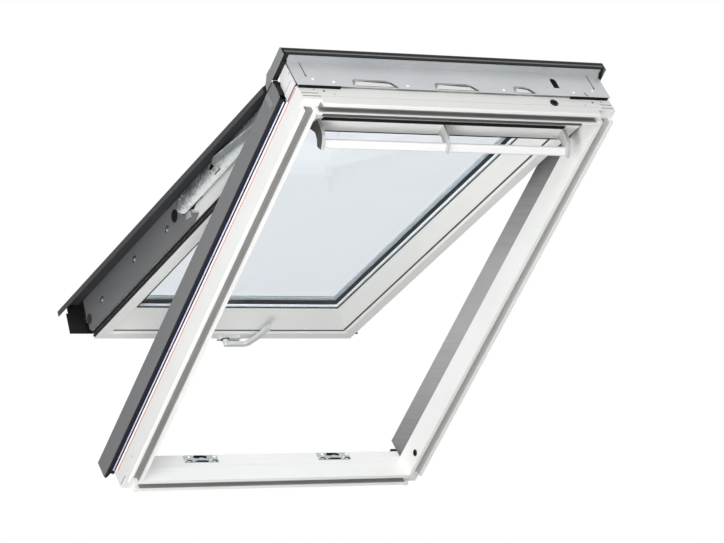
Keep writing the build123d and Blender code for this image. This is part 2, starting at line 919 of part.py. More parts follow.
# Side panels, gaskets, bearings and lower covers of the sash
panel_in = sash_half + 2.3
panel_out = sash_half + 5.3
bearing_out = panel_out + 0.5
panel_end = pivot_e + 50
for side, way in sides:
    with BuildPart() as side_panel:
        with BuildSketch(outer_of(sash_along, panel_in, panel_out, way)):
            with BuildLine():
                Polyline(
                    (pivot_e - 21, 85),
                    (pivot_e - 30, cover_high - sheet),
                    (-12, cover_high - sheet),
                    (-12, 45.5),
                    (-4, 43.5),
                    (-3.5, 26),
                    (2, 20),
                    (panel_end - 30, 20),
                    (panel_end - 8, 28),
                    (panel_end - 22, 36),
                    (pivot_e - 12, 50),
                )
                ThreePointArc((pivot_e - 12, 50), (pivot_e - 27, 68), (pivot_e - 21, 85))
            make_face()
        extrude(amount=panel_out - panel_in)
        # Spacer rib behind the panel, against the stile
        with BuildSketch(outer_of(sash_along, sash_half, panel_in, way)):
            with Locations((pivot_e / 2 - 25, 60)):
                Rectangle(pivot_e - 70, 20)
        extrude(amount=panel_in - sash_half)
    save(side_panel, f"side_panel_{side}")

    with BuildPart() as bearing:
        with BuildSketch(outer_of(sash_along, sash_half, bearing_out, way)):
            with BuildLine():
                Polyline((pivot_e - 13, 54), (pivot_e + 70, 54), (pivot_e + 70, 68), (pivot_e + 19, 84))
                ThreePointArc((pivot_e + 19, 84), (pivot_e - 19, 82), (pivot_e - 13, 54))
            make_face()
            with Locations((pivot_e, pivot_w)):
                Circle(pivot_radius + running_gap, mode=Mode.SUBTRACT)
        extrude(amount=bearing_out - sash_half)
    save(bearing, f"pivot_bearing_{side}")

    with BuildPart() as sash_gasket:
        for low in (2, 11):
            with BuildSketch(sash_across(4)):
                with BuildLine():
                    Polyline(
                        *mirrored(
                            [
                                (sash_half, low),
                                (panel_in + 0.8, low + 1),
                                (panel_in + 1.4, low + 3.5),
                                (panel_in + 0.8, low + 6),
                                (sash_half, low + 7),
                            ],
                            way,
                        ),
                        close=True,
                    )
                make_face()
            extrude(amount=sash_height - 12)
    save(sash_gasket, f"sash_gasket_{side}")

    with BuildPart() as lower_cover:
        with BuildSketch(sash_across(-40)):
            with BuildLine():
                Polyline(
                    *mirrored(
                        [
                            (cover_out - sheet, cover_low),
                            (cover_out, cover_low),
                            (cover_out, cover_bend),
                            (cover_flat, cover_high),
                            (panel_in, cover_high),
                            (panel_in, cover_high - sheet),
                            (cover_flat - 0.5, cover_high - sheet),
                            (cover_out - sheet, cover_bend - 0.8),
                        ],
                        way,
                    ),
                    close=True,
                )
            make_face()
        extrude(amount=cover_split + 40)
    save(lower_cover, f"lower_cover_{side}")

# Ring fittings at the lower ends of the side panels
with BuildPart() as ring_fittings:
    for side, way in sides:
        with BuildSketch(outer_of(sash_along, panel_out, panel_out + 1.5, way)):
            with Locations((6, 47)):
                Circle(12)
                Circle(7, mode=Mode.SUBTRACT)
        extrude(amount=1.5)
        with BuildSketch(outer_of(sash_along, panel_out, panel_out + 0.6, way)):
            with Locations((6, 47)):
                Circle(7)
        extrude(amount=0.6)
save(ring_fittings, "ring_fittings")

# Screws of the side panels, in one group
with BuildPart() as panel_screws:
    for side, way in sides:
        with BuildSketch(outer_of(sash_along, panel_out, panel_out + 1.6, way)):
            with Locations((85, 58), (pivot_e - 277, 70), (pivot_e - 104, 59)):
                Circle(4)
                Circle(1.6, mode=Mode.SUBTRACT)
        extrude(amount=1.6)
save(panel_screws, "panel_screws")

# Bottom apron of the sash, a folded strip below its lower edge
apron_half = half_width - 1
with BuildPart() as apron:
    with BuildSketch(sash_along(apron_half)):
        with BuildLine():
            Polyline(
                (-31, 26.6),
                (-29, 26.6),
                (-29, 76),
                (30, 76),
                (30, 78),
                (-31, 78),
                close=True,
            )
        make_face()
    extrude(amount=2 * apron_half)
    # Notches where the strip passes the side panels
    with BuildSketch(sash_facing(79)):
        for way in (-1, 1):
            with Locations((way * (panel_in + 33), 12.5)):
                Rectangle(66.6, 83)
    extrude(amount=4, mode=Mode.SUBTRACT)
save(apron, "bottom_apron")

for side, way in sides:
    with BuildPart() as corner_end:
        with BuildSketch(outer_of(sash_along, bearing_out, half_width - 6, way)):
            with BuildLine():
                Polyline(
                    (-31, 78),
                    (-29, 78),
                    (-29, cover_high - sheet),
                    (-31, cover_high - sheet),
                    close=True,
                )
            make_face()
        extrude(amount=half_width - 6 - bearing_out)
        # Cheek that closes the gap to the side panel
        with BuildSketch(outer_of(sash_along, bearing_out, bearing_out + 2, way)):
            with BuildLine():
                Polyline(
                    (-28.9, 40),
                    (-8, 62),
                    (-8, cover_high - sheet),
                    (-30, cover_high - sheet),
                    (-30, 78),
                    (-28.9, 78),
                    close=True,
                )
            make_face()
        extrude(amount=2)
    save(corner_end, f"corner_end_{side}")

# Lock rod in the lower edge of the sash, with its two lock pins
with BuildPart() as lock_rod:
    with BuildSketch(sash_across(0.5)):
        with Locations((-4, 31)):
            Rectangle(394, 10)
    extrude(amount=3)
    with BuildSketch(sash_across(-2.5)):
        for centre in striker_centres:
            with Locations((centre, 31)):
                Circle(3)
    extrude(amount=4)
save(lock_rod, "lock_rod")

# Handle: base plate on the flat of the bottom rail, and a cranked lever
handle_x = 6
with BuildPart() as handle_base:
    with BuildSketch(sash_facing(0)):
        with Locations((handle_x, 10)):
            RectangleRounded(60, 16, 6)
    extrude(amount=7)
    fillet(handle_base.faces().sort_by(Axis((0, 0, 0), tuple(sash_out)))[0].edges(), 1.5)
save(handle_base, "handle_base")

lever_x = -6
with BuildPart() as lever:
    with BuildSketch(sash_facing(-7.1)):
        with Locations((lever_x, 10)):
            Circle(7)
    extrude(amount=12)
    with BuildSketch(sash_facing(-15)):
        with BuildLine():
            Polyline((lever_x, 3), (lever_x + 50, 3), (lever_x + 62, 10), (lever_x + 72, 50))
            Polyline((lever_x + 72, 50), (lever_x + 76, 104), (lever_x + 62, 106), (lever_x + 58, 52))
            Polyline((lever_x + 58, 52), (lever_x + 48, 18), (lever_x, 17))
            ThreePointArc((lever_x, 17), (lever_x - 7, 10), (lever_x, 3))
        make_face()
    extrude(amount=9)
    fillet(lever.faces().sort_by(Axis((0, 0, 0), tuple(sash_out)))[0].edges(), 2.5)
save(lever, "handle_lever")

# Ventilation flap along the top of the sash, with its brackets and control bar
flap_half = sash_half - 40.7
bracket_width = 8
bar_centre = (sash_height - 30, -50)
flap_axis = (sash_height - 42, -2)
flap_pin_radius = 1.5
ear_in = sash_half - 28.7
ear_out = ear_in + 3


def flap_section():
    ThreePointArc((sash_height, -4), (sash_height - 22, -4.5), (sash_height - 40, -14))
    Line((sash_height - 40, -14), (sash_height - 41.5, -12))
    ThreePointArc((sash_height - 41.5, -12), (sash_height - 23, -2.6), (sash_height, -1.8))
    Line((sash_height, -1.8), (sash_height, -4))


with BuildPart() as vent_flap:
    with BuildSketch(sash_along(flap_half)):
        with BuildLine():
            flap_section()
        make_face()
    extrude(amount=2 * flap_half)
save(vent_flap, "vent_flap")

bracket_shape = (
    (34, 0),
    (46, 0.5),
    (50, -3),
    (31, -24),
    (30, -42),
    (36, -54),
    (26, -68),
    (16, -57),
    (7, -43),
    (8, -23),
    (13, -3),
)
bracket_outline = [(sash_height - down, w) for down, w in bracket_shape]
with BuildPart() as flap_brackets:
    for start, end in ((-flap_half - bracket_width, -flap_half), (-2, 2), (flap_half, flap_half + bracket_width)):
        with BuildSketch(sash_along(end)):
            with BuildLine():
                Polyline(*bracket_outline, close=True)
            make_face()
        extrude(amount=end - start)
    # The flap and the bar pass through the middle bracket
    with BuildSketch(sash_along(3)):
        with BuildLine():
            flap_section()
        make_face()
        with Locations(bar_centre):
            Rectangle(20, 11, rotation=50)
    extrude(amount=6, mode=Mode.SUBTRACT)
    for side, way in sides:
        with BuildSketch(outer_of(sash_along, flap_half + bracket_width, ear_out, way)):
            with Locations(flap_axis):
                Circle(flap_pin_radius)
        extrude(amount=ear_out - flap_half - bracket_width)
save(flap_brackets, "flap_brackets")

# Ears on the stiles in which the flap turns
with BuildPart() as flap_ears:
    for side, way in sides:
        with BuildSketch(outer_of(sash_along, ear_in, ear_out, way)):
            with BuildLine():
                Polyline((flap_axis[0] - 5, -2), (flap_axis[0] - 5, 0), (flap_axis[0] + 5, 0), (flap_axis[0] + 5, -2))
                ThreePointArc(
                    (flap_axis[0] + 5, -2), (flap_axis[0], -6.5), (flap_axis[0] - 5, -2)
                )
            make_face()
            with Locations(flap_axis):
                Circle(flap_pin_radius + running_gap, mode=Mode.SUBTRACT)
        extrude(amount=ear_out - ear_in)
save(flap_ears, "flap_ears")

with BuildPart() as control_bar:
    with BuildSketch(sash_along(flap_half)):
        with Locations(bar_centre):
            RectangleRounded(20, 11, 4, rotation=50)
    extrude(amount=2 * flap_half)
save(control_bar, "control_bar")
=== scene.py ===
import json
import math

import bmesh
import bpy
from mathutils import Matrix, Vector


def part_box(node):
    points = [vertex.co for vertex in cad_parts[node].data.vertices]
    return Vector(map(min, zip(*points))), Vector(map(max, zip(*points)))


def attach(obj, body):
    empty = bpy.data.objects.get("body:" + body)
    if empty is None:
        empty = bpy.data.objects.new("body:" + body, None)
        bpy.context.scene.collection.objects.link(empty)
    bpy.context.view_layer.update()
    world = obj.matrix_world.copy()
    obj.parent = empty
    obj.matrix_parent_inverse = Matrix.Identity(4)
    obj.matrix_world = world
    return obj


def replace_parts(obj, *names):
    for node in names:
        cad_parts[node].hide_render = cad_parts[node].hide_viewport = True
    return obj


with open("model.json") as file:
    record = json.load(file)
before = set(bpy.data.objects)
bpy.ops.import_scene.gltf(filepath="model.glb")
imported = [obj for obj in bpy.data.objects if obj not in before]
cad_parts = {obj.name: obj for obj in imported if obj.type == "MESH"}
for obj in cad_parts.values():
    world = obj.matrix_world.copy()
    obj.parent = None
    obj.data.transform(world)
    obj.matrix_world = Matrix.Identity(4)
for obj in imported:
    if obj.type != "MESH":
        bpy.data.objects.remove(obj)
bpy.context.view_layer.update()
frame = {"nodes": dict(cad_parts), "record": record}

nodes = frame["nodes"]
print("frame loaded,", len(nodes), "CAD nodes")

# Directions of the window in the row frame, and sizes in millimetres
roofDegrees = 45
openDegrees = 19.9  # how far the sash stands open
roofPitch = math.radians(roofDegrees)
sashTilt = math.radians(roofDegrees - openDegrees)
originLevel = 20  # n of the row frame's origin
frameHeight = 1178
sashHalf = 344.7
sashHeight = 1100
sashStart = Vector((0, 75.41, 401.68))  # x, up the slope, out of the roof
upSlope = Vector((0, -math.cos(roofPitch), math.sin(roofPitch)))
outward = Vector((0, math.sin(roofPitch), math.cos(roofPitch)))
sashUp = Vector((0, -math.cos(sashTilt), math.sin(sashTilt)))
sashOut = Vector((0, math.sin(sashTilt), math.cos(sashTilt)))
bothSides = (("left", -1), ("right", 1))


def roofPoint(x, s, n):
    # x across, s up the slope from the bottom rail, n out of the roof
    return (Vector((x, 0, 0)) + upSlope * s + outward * (n - originLevel)) / 1000


def sashPoint(x, e, w):
    # e up the sash from its bottom rail, w out of its room face
    return roofPoint(*sashStart) + (Vector((x, 0, 0)) + sashUp * e + sashOut * w) / 1000


def toLinear(hexColour):
    # sRGB hex to the linear colour that shaders work in
    channels = [int(hexColour[i:i + 2], 16) / 255 for i in (1, 3, 5)]
    return [c / 12.92 if c <= 0.04045 else ((c + 0.055) / 1.055) ** 2.4 for c in channels] + [1]


def addNode(tree, kind, settings=None, links=None):
    # one node, its settings (sockets or properties) and the links into it
    made = tree.nodes.new(kind)
    for key, value in (settings or {}).items():
        if isinstance(key, int) or key in made.inputs:
            made.inputs[key].default_value = value
        else:
            setattr(made, key, value)
    for key, source in (links or {}).items():
        tree.links.new(source, made.inputs[key])
    return made


def perMetre(millimetres):
    # texture scale that gives a pattern of this size
    return 1000 / millimetres


def startMaterial(name, shaderSettings):
    material = bpy.data.materials.new(name)
    material.use_nodes = True
    tree = material.node_tree
    tree.nodes.clear()
    shader = addNode(tree, "ShaderNodeBsdfPrincipled", shaderSettings)
    addNode(tree, "ShaderNodeOutputMaterial", links={"Surface": shader.outputs[0]})
    place = addNode(tree, "ShaderNodeTexCoord").outputs["Object"]
    return material, tree, shader, place


mixSockets = {"first": 6, "second": 7, "result": 2}  # colour sockets of Blender's mix node


def dressSurface(tree, shader, look, mottle, shine, relief):
    # mottle mixes the two colours, shine sets the roughness and relief the bump
    colour = addNode(tree, "ShaderNodeMix", {"data_type": "RGBA", mixSockets["first"]: toLinear(look["dark"]),
                                             mixSockets["second"]: toLinear(look["light"])}, {0: mottle})
    rough = addNode(tree, "ShaderNodeMapRange", {"To Min": look["smooth"], "To Max": look["rough"]}, {"Value": shine})
    bump = addNode(tree, "ShaderNodeBump", {"Strength": look["bump"], "Distance": look["depth"] / 1000},
                   {"Height": relief})
    tree.links.new(colour.outputs[mixSockets["result"]], shader.inputs["Base Color"])
    tree.links.new(rough.outputs[0], shader.inputs["Roughness"])
    tree.links.new(bump.outputs[0], shader.inputs["Normal"])


def finishFromNoise(name, look):
    # colour, roughness and bump that vary with two sizes of noise, a broad one and a fine one
    material, tree, shader, place = startMaterial(name, look["shader"])
    broad = addNode(tree, "ShaderNodeTexNoise", {"Scale": perMetre(look["broad"]), "Detail": 3}, {"Vector": place})
    fine = addNode(tree, "ShaderNodeTexNoise", {"Scale": perMetre(look["fine"]), "Detail": 2}, {"Vector": place})
    dressSurface(tree, shader, look, broad.outputs[0], fine.outputs[0], fine.outputs[0])
    return material


# Moulded polyurethane over a wood core, white satin lacquer: soft reflections and a faint orange peel
# (the real peel is about 1 mm, drawn at 3 mm so that it shows)
whiteLacquer = finishFromNoise("white satin polyurethane lacquer", {
    "shader": {"IOR": 1.5, "Coat Weight": 0.08, "Coat Roughness": 0.25},
    "dark": "#eaebe9", "light": "#f4f4f2", "smooth": 0.34, "rough": 0.44,
    "broad": 180, "fine": 3, "bump": 0.12, "depth": 0.05})

# Coil-coated aluminium sheet, matt dark grey polyester: an even grey with a soft broad shine
darkAluminium = finishFromNoise("dark grey coated aluminium sheet", {
    "shader": {"IOR": 1.5, "Specular IOR Level": 0.3},
    "dark": "#717274", "light": "#7b7c7e", "smooth": 0.5, "rough": 0.62,
    "broad": 240, "fine": 2, "bump": 0.1, "depth": 0.04})

# Extruded EPDM rubber: nearly black, dull, with a dusty grain of about 1 mm (drawn at 1.5 mm)
blackRubber = finishFromNoise("extruded black rubber", {
    "shader": {"IOR": 1.52, "Specular IOR Level": 0.25},
    "dark": "#0c0d0e", "light": "#18191a", "smooth": 0.55, "rough": 0.72,
    "broad": 40, "fine": 1.5, "bump": 0.25, "depth": 0.08})

# Butyl edge sealant behind the panes: dull dark grey, trowelled
edgeSealant = finishFromNoise("dark butyl sealant", {
    "shader": {"IOR": 1.5},
    "dark": "#2b2c2e", "light": "#3a3b3d", "smooth": 0.6, "rough": 0.8,
    "broad": 30, "fine": 4, "bump": 0.4, "depth": 0.3})

# Rolled aluminium, mill finish: pale grey metal with a satin shine
millAluminium = finishFromNoise("mill finish aluminium", {
    "shader": {"Metallic": 1.0},
    "dark": "#c2c5c9", "light": "#d8dadd", "smooth": 0.3, "rough": 0.42,
    "broad": 60, "fine": 2, "bump": 0.08, "depth": 0.03})

# Satin anodised aluminium sheet of the head plate, the strikers and the panel clips: grey with a soft shine
satinAluminium = finishFromNoise("satin anodised aluminium sheet", {
    "shader": {"Metallic": 0.85},
    "dark": "#bfc2c4", "light": "#d2d4d6", "smooth": 0.4, "rough": 0.52,
    "broad": 150, "fine": 1.5, "bump": 0.06, "depth": 0.02})

# Die-cast zinc handle with silver lacquer: fine sparkle of about 0.5 mm, drawn at 1 mm
castAlloy = finishFromNoise("silver lacquered die casting", {
    "shader": {"Metallic": 0.45},
    "dark": "#dfe0e2", "light": "#eff0f1", "smooth": 0.32, "rough": 0.46,
    "broad": 30, "fine": 1, "bump": 0.1, "depth": 0.03})

# Powder coated white flap and rail ends
flapLacquer = finishFromNoise("white powder coat", {
    "shader": {"IOR": 1.5, "Coat Weight": 0.1, "Coat Roughness": 0.3},
    "dark": "#e6e7e6", "light": "#f0f1ef", "smooth": 0.4, "rough": 0.52,
    "broad": 120, "fine": 2, "bump": 0.12, "depth": 0.04})

# Painted shade in the grooves of the rails: a matt grey lining, a little lighter in random patches
grooveShade = finishFromNoise("painted groove shade", {
    "shader": {"IOR": 1.5, "Specular IOR Level": 0.3},
    "dark": "#8a8a88", "light": "#9f9f9d", "smooth": 0.6, "rough": 0.75,
    "broad": 90, "fine": 2, "bump": 0.15, "depth": 0.05})

# Near-black, dull: painted shade in hollows, gaps and recesses, and the dark joints, marks and back of the spacer
hollowBlack = finishFromNoise("dull black hollow", {
    "shader": {"IOR": 1.45, "Specular IOR Level": 0.1},
    "dark": "#101112", "light": "#1b1c1d", "smooth": 0.8, "rough": 0.9,
    "broad": 20, "fine": 2, "bump": 0.1, "depth": 0.05})

# Printed guide lines on the lacquer, red and pale blue, slightly uneven ink
redInk = finishFromNoise("red printed line", {
    "shader": {"IOR": 1.5},
    "dark": "#d9465c", "light": "#ee8496", "smooth": 0.5, "rough": 0.6,
    "broad": 70, "fine": 2, "bump": 0.05, "depth": 0.02})
blueInk = finishFromNoise("pale blue printed line", {
    "shader": {"IOR": 1.5},
    "dark": "#b6b8ee", "light": "#cfd0f6", "smooth": 0.5, "rough": 0.6,
    "broad": 70, "fine": 2, "bump": 0.05, "depth": 0.02})

# Silvered sealing tape beside the gasket: pale lilac sheen, wrinkled at about 4 mm
silverTape = finishFromNoise("silvered sealing tape", {
    "shader": {"Metallic": 0.4},
    "dark": "#cfcedd", "light": "#e9e8f0", "smooth": 0.35, "rough": 0.5,
    "broad": 35, "fine": 4, "bump": 0.3, "depth": 0.2})

# Rubber of the folded edge, near black with a navy cast
navyRubber = finishFromNoise("navy black rubber", {
    "shader": {"IOR": 1.5, "Specular IOR Level": 0.2},
    "dark": "#0b0a2c", "light": "#15143c", "smooth": 0.6, "rough": 0.75,
    "broad": 60, "fine": 2, "bump": 0.2, "depth": 0.06})


def brushedSheet(name, look):
    # brushed metal: fine lines along the rail, and a painted reflection, a sheen drawn lightest halfway up
    material, tree, shader, place = startMaterial(name, look["shader"])
    turn = addNode(tree, "ShaderNodeMapping", {"Rotation": (look["turn"], 0, 0), "Scale": look["stretch"]},
                   {"Vector": place})
    lines = addNode(tree, "ShaderNodeTexNoise", {"Scale": perMetre(look["lines"]), "Detail": 3},
                    {"Vector": turn.outputs[0]})
    height = addNode(tree, "ShaderNodeSeparateXYZ", links={0: place}).outputs[2]
    low = addNode(tree, "ShaderNodeMapRange", {"From Min": look["low"][0], "From Max": look["low"][1]},
                  {"Value": height})
    high = addNode(tree, "ShaderNodeMapRange", {"From Min": look["high"][1], "From Max": look["high"][0]},
                   {"Value": height})
    paintedSheen = addNode(tree, "ShaderNodeMath", {"operation": "MULTIPLY"}, {0: low.outputs[0], 1: high.outputs[0]})
    mixed = addNode(tree, "ShaderNodeMath", {"operation": "MULTIPLY_ADD", 1: look["lineShare"]},
                    {0: lines.outputs[0], 2: paintedSheen.outputs[0]})
    dressSurface(tree, shader, look, mixed.outputs[0], lines.outputs[0], lines.outputs[0])
    return material


# Brushed aluminium of the channel walls: darker than the plates, brushed along the rail, with a painted reflection
# that is lightest halfway up (real brush lines are about 0.2 mm, drawn at 5 mm so that they show)
brushedWall = brushedSheet("brushed aluminium channel wall", {
    "shader": {"Metallic": 0.3, "Specular IOR Level": 0.3},
    "turn": roofPitch, "stretch": (1, 0.03, 1), "lines": 5, "lineShare": 0.35,
    "low": (-0.05, 0.42), "high": (0.42, 0.78),  # heights in metres between which the painted sheen rises and falls
    "dark": "#5c5c5c", "light": "#b4b4b3", "smooth": 0.5, "rough": 0.65, "bump": 0.1, "depth": 0.03})

# Painted light: a paler copy of the groove shade for the right-hand groove, which catches more light
litGrooveShade = finishFromNoise("lit groove shade", {
    "shader": {"IOR": 1.5, "Specular IOR Level": 0.3},
    "dark": "#b9b9b7", "light": "#cbcbc9", "smooth": 0.6, "rough": 0.75,
    "broad": 90, "fine": 2, "bump": 0.15, "depth": 0.05})

# Painted shade: the dark grey coating drawn darker, charcoal, on the covers of the sash and arms and on the ring
# fittings, which face away from the light; hardly any shine
shadedAluminium = finishFromNoise("shaded dark grey coated aluminium", {
    "shader": {"IOR": 1.5, "Specular IOR Level": 0.25},
    "dark": "#37383a", "light": "#414244", "smooth": 0.5, "rough": 0.65,
    "broad": 240, "fine": 2, "bump": 0.1, "depth": 0.04})

# Grey coating of the hood sides: mid grey, softly speckled at 3 mm
hoodGrey = finishFromNoise("mid grey coated sheet", {
    "shader": {"IOR": 1.5, "Specular IOR Level": 0.3},
    "dark": "#7d7f81", "light": "#8b8d8e", "smooth": 0.45, "rough": 0.6,
    "broad": 120, "fine": 3, "bump": 0.1, "depth": 0.04})

# Nearly white aluminium for the domed rivets of the head plate, and as a painted highlight along its fold; and the
# pale silicone of the glazing
highlightAndRivetAluminium = finishFromNoise("highlight and rivet aluminium", {
    "shader": {"Metallic": 0.2},
    "dark": "#f0f2f3", "light": "#fafbfb", "smooth": 0.35, "rough": 0.5,
    "broad": 60, "fine": 3, "bump": 0.1, "depth": 0.03})
paleSilicone = finishFromNoise("pale glazing silicone", {
    "shader": {"IOR": 1.45},
    "dark": "#ecefef", "light": "#f4f6f6", "smooth": 0.5, "rough": 0.6,
    "broad": 60, "fine": 3, "bump": 0.1, "depth": 0.03})

# Painted shade: a matt mid grey for the shaded end of the flap, the underside of the plate's fold, the groove of the
# sash and the gap under the frame's lip
shadeGrey = finishFromNoise("painted shade grey", {
    "shader": {"IOR": 1.5, "Specular IOR Level": 0.3},
    "dark": "#474747", "light": "#545453", "smooth": 0.5, "rough": 0.65,
    "broad": 40, "fine": 2, "bump": 0.12, "depth": 0.04})

# Bright anodised control bar and the silver-grey brackets that carry it
barAluminium = finishFromNoise("bright anodised bar", {
    "shader": {"Metallic": 0.25},
    "dark": "#eceded", "light": "#f7f7f8", "smooth": 0.3, "rough": 0.42,
    "broad": 90, "fine": 2, "bump": 0.06, "depth": 0.02})
silverMoulding = finishFromNoise("silver grey moulding", {
    "shader": {"IOR": 1.5},
    "dark": "#b4b5b4", "light": "#c6c7c6", "smooth": 0.4, "rough": 0.55,
    "broad": 30, "fine": 2, "bump": 0.1, "depth": 0.03})

# Zinc plated screws: bright, slightly warm
zincScrew = finishFromNoise("zinc plated screw", {
    "shader": {"Metallic": 1.0},
    "dark": "#aeb2b3", "light": "#d4d6d5", "smooth": 0.25, "rough": 0.38,
    "broad": 6, "fine": 1, "bump": 0.1, "depth": 0.03})


def zincSpangle(name, look):
    # hot-dip galvanised steel: crystals of several shades, each with its own shine
    material, tree, shader, place = startMaterial(name, look["shader"])
    crystal = addNode(tree, "ShaderNodeTexVoronoi", {"Scale": perMetre(look["crystal"])}, {"Vector": place})
    shade = addNode(tree, "ShaderNodeSeparateColor", links={"Color": crystal.outputs["Color"]})
    cloud = addNode(tree, "ShaderNodeTexNoise", {"Scale": perMetre(look["cloud"]), "Detail": 4}, {"Vector": place})
    both = addNode(tree, "ShaderNodeMath", {"operation": "MULTIPLY"}, {0: shade.outputs[0], 1: cloud.outputs[0]})
    if "across" in look:  # painted light and shade: drawn lighter towards the lower edge of the channel and darker towards its upper one
        level = addNode(tree, "ShaderNodeVectorMath", {"operation": "DOT_PRODUCT"}, {0: place})
        level.inputs[1].default_value = look["across"]
        fade = addNode(tree, "ShaderNodeMapRange", {"From Min": look["bright"], "From Max": look["dull"],
                                                    "To Min": look["paintedLight"], "To Max": 0.0},
                       {"Value": level.outputs["Value"]})
        both = addNode(tree, "ShaderNodeMath", {"operation": "ADD"}, {0: both.outputs[0], 1: fade.outputs[0]})
    dressSurface(tree, shader, look, both.outputs[0], shade.outputs[1], cloud.outputs[0])
    return material


# Galvanised steel: crystals of about 7 mm, grey and silver by turns
galvanisedSteel = zincSpangle("hot-dip galvanised steel", {
    "shader": {"Metallic": 0.5},
    "dark": "#b3baba", "light": "#e2e5e4", "smooth": 0.36, "rough": 0.52,
    "crystal": 7, "cloud": 25, "bump": 0.08, "depth": 0.1})

# The same steel on the arms, with painted light and shade: drawn lighter along the lower edge and darker along the
# upper one
armShadeSpread = {"below": 0.016, "above": 0.012}  # metres from the middle of the arm
armLow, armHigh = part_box("arm_left")
armFall = math.atan2(armHigh[2] - armLow[2], armHigh[1] - armLow[1])  # angle at which the arm falls to the sash
armAcross = (0, math.sin(armFall), math.cos(armFall))
armMiddle = sum(0.5 * (low + high) * way for low, high, way in zip(armLow, armHigh, armAcross))
armSteel = zincSpangle("galvanised steel arm channel", {
    "shader": {"Metallic": 0.4}, "across": armAcross, "paintedLight": 0.8,
    # levels across the arm where the painted light is fullest and where it has faded to painted shade
    "bright": armMiddle - armShadeSpread["below"], "dull": armMiddle + armShadeSpread["above"],
    "dark": "#5c6464", "light": "#e4e8e8", "smooth": 0.36, "rough": 0.52,
    "crystal": 7, "cloud": 25, "bump": 0.08, "depth": 0.1})


def clearGlass(name, look):
    # float glass: clear, thin blue-green tint, light passes to what is behind without a dark shadow
    material, tree, shader, place = startMaterial(name, look["shader"])
    haze = addNode(tree, "ShaderNodeTexNoise", {"Scale": perMetre(look["haze"]), "Detail": 2}, {"Vector": place})
    tint = addNode(tree, "ShaderNodeMix", {"data_type": "RGBA", mixSockets["first"]: toLinear(look["dark"]),
                                           mixSockets["second"]: toLinear(look["light"])}, {0: haze.outputs[0]})
    tree.links.new(tint.outputs[mixSockets["result"]], shader.inputs["Base Color"])
    bump = addNode(tree, "ShaderNodeBump", {"Strength": look["bump"], "Distance": look["depth"] / 1000},
                   {"Height": haze.outputs[0]})
    tree.links.new(bump.outputs[0], shader.inputs["Normal"])
    through = addNode(tree, "ShaderNodeBsdfTransparent", {"Color": toLinear(look["shadow"])})
    path = addNode(tree, "ShaderNodeLightPath")
    mixed = addNode(tree, "ShaderNodeMixShader",
                    links={0: path.outputs["Is Shadow Ray"], 1: shader.outputs[0], 2: through.outputs[0]})
    output = next(n for n in tree.nodes if n.type == "OUTPUT_MATERIAL")
    tree.links.new(mixed.outputs[0], output.inputs["Surface"])
    return material


windowGlass = clearGlass("float glass", {
    # real glass is about 1.5; lowered, so edges read through two panes
    "shader": {"IOR": 1.18, "Roughness": 0.0, "Transmission Weight": 1.0},
    "dark": "#f3f7fa", "light": "#f8fafc", "shadow": "#f0f4f5", "haze": 300, "bump": 0.02, "depth": 0.1})

finishOf = {
    "white_lacquer": whiteLacquer,
    "dark_aluminium": darkAluminium,
    "black_rubber": blackRubber,
    "edge_sealant": edgeSealant,
    "mill_aluminium": millAluminium,
    "grey_aluminium": satinAluminium,
    "cast_alloy": castAlloy,
    "flap_lacquer": flapLacquer,
    "galvanised_steel": galvanisedSteel,
    "window_glass": windowGlass,
}
slotOf = {entry["node"]: entry["material_slot"] for entry in frame["record"]["subparts"]}
for nodeName, thing in nodes.items():
    thing.data.materials.clear()
    thing.data.materials.append(finishOf[slotOf[nodeName]])
ownFinish = {
    "channel_wall_left": brushedWall,
    "channel_wall_right": brushedWall,
    "sash_outer_cover": shadedAluminium,
    "lower_cover_left": shadedAluminium,
    "lower_cover_right": shadedAluminium,
    "arm_cover_left": shadedAluminium,
    "arm_cover_right": shadedAluminium,
    "ring_fittings": shadedAluminium,
    "arm_left": armSteel,
    "arm_right": armSteel,
    "hood": hoodGrey,
    "hood_bar": blackRubber,
    "control_bar": barAluminium,
    "flap_brackets": silverMoulding,
}
for nodeName, finish in ownFinish.items():
    nodes[nodeName].data.materials[0] = finish
print("materials on the CAD nodes")


def block(shape, place, fixed, outline, start, end):
    # solid from an outline in two directions, between two values of the third (0 x, 1 up, 2 out)
    rings = []
    for level in (start, end):
        points = [list(pair) for pair in outline]
        for point in points:
            point.insert(fixed, level)
        rings.append([shape.verts.new(place(*point)) for point in points])
    shape.faces.new(rings[0])
    shape.faces.new(rings[1][::-1])
    for i in range(len(outline)):
        shape.faces.new((rings[0][i - 1], rings[0][i], rings[1][i], rings[1][i - 1]))


mitreLimit = 0.3  # keeps the corners of a sharp bend short


def band(line, width):
    # outline of a strip of one width along a line of points
    points = [Vector(point) for point in line]
    left, right = [], []
    for i, here in enumerate(points):
        steps = [(b - a).normalized() for a, b in ((points[i - 1], here), (here, points[(i + 1) % len(points)]))]
        if i == 0:
            steps = steps[1:]
        elif i == len(points) - 1:
            steps = steps[:1]
        way = sum(steps, Vector((0, 0))).normalized()
        reach = width / 2 / max(mitreLimit, abs(way.dot(steps[0])))
        side = Vector((-way.y, way.x)) * reach
        left.append(tuple(here + side))
        right.append(tuple(here - side))
    return left + right[::-1]


def circle(centre, radius, count=20):
    return [(centre[0] + radius * math.cos(2 * math.pi * i / count),
             centre[1] + radius * math.sin(2 * math.pi * i / count)) for i in range(count)]


def turned(shape, place, fixed, centre, level, way, profile, count=24):
    # turned part on a face: (radius, height) pairs from its rim to its middle
    rings = []
    for radius, height in profile:
        ring = []
        for a, b in circle(centre, radius, count):
            point = [a, b]
            point.insert(fixed, level + way * height)
            ring.append(shape.verts.new(place(*point)))
        rings.append(ring)
    for low, high in zip(rings, rings[1:]):
        for i in range(count):
            shape.faces.new((low[i - 1], low[i], high[i], high[i - 1]))
    shape.faces.new(rings[0])
    shape.faces.new(rings[-1])


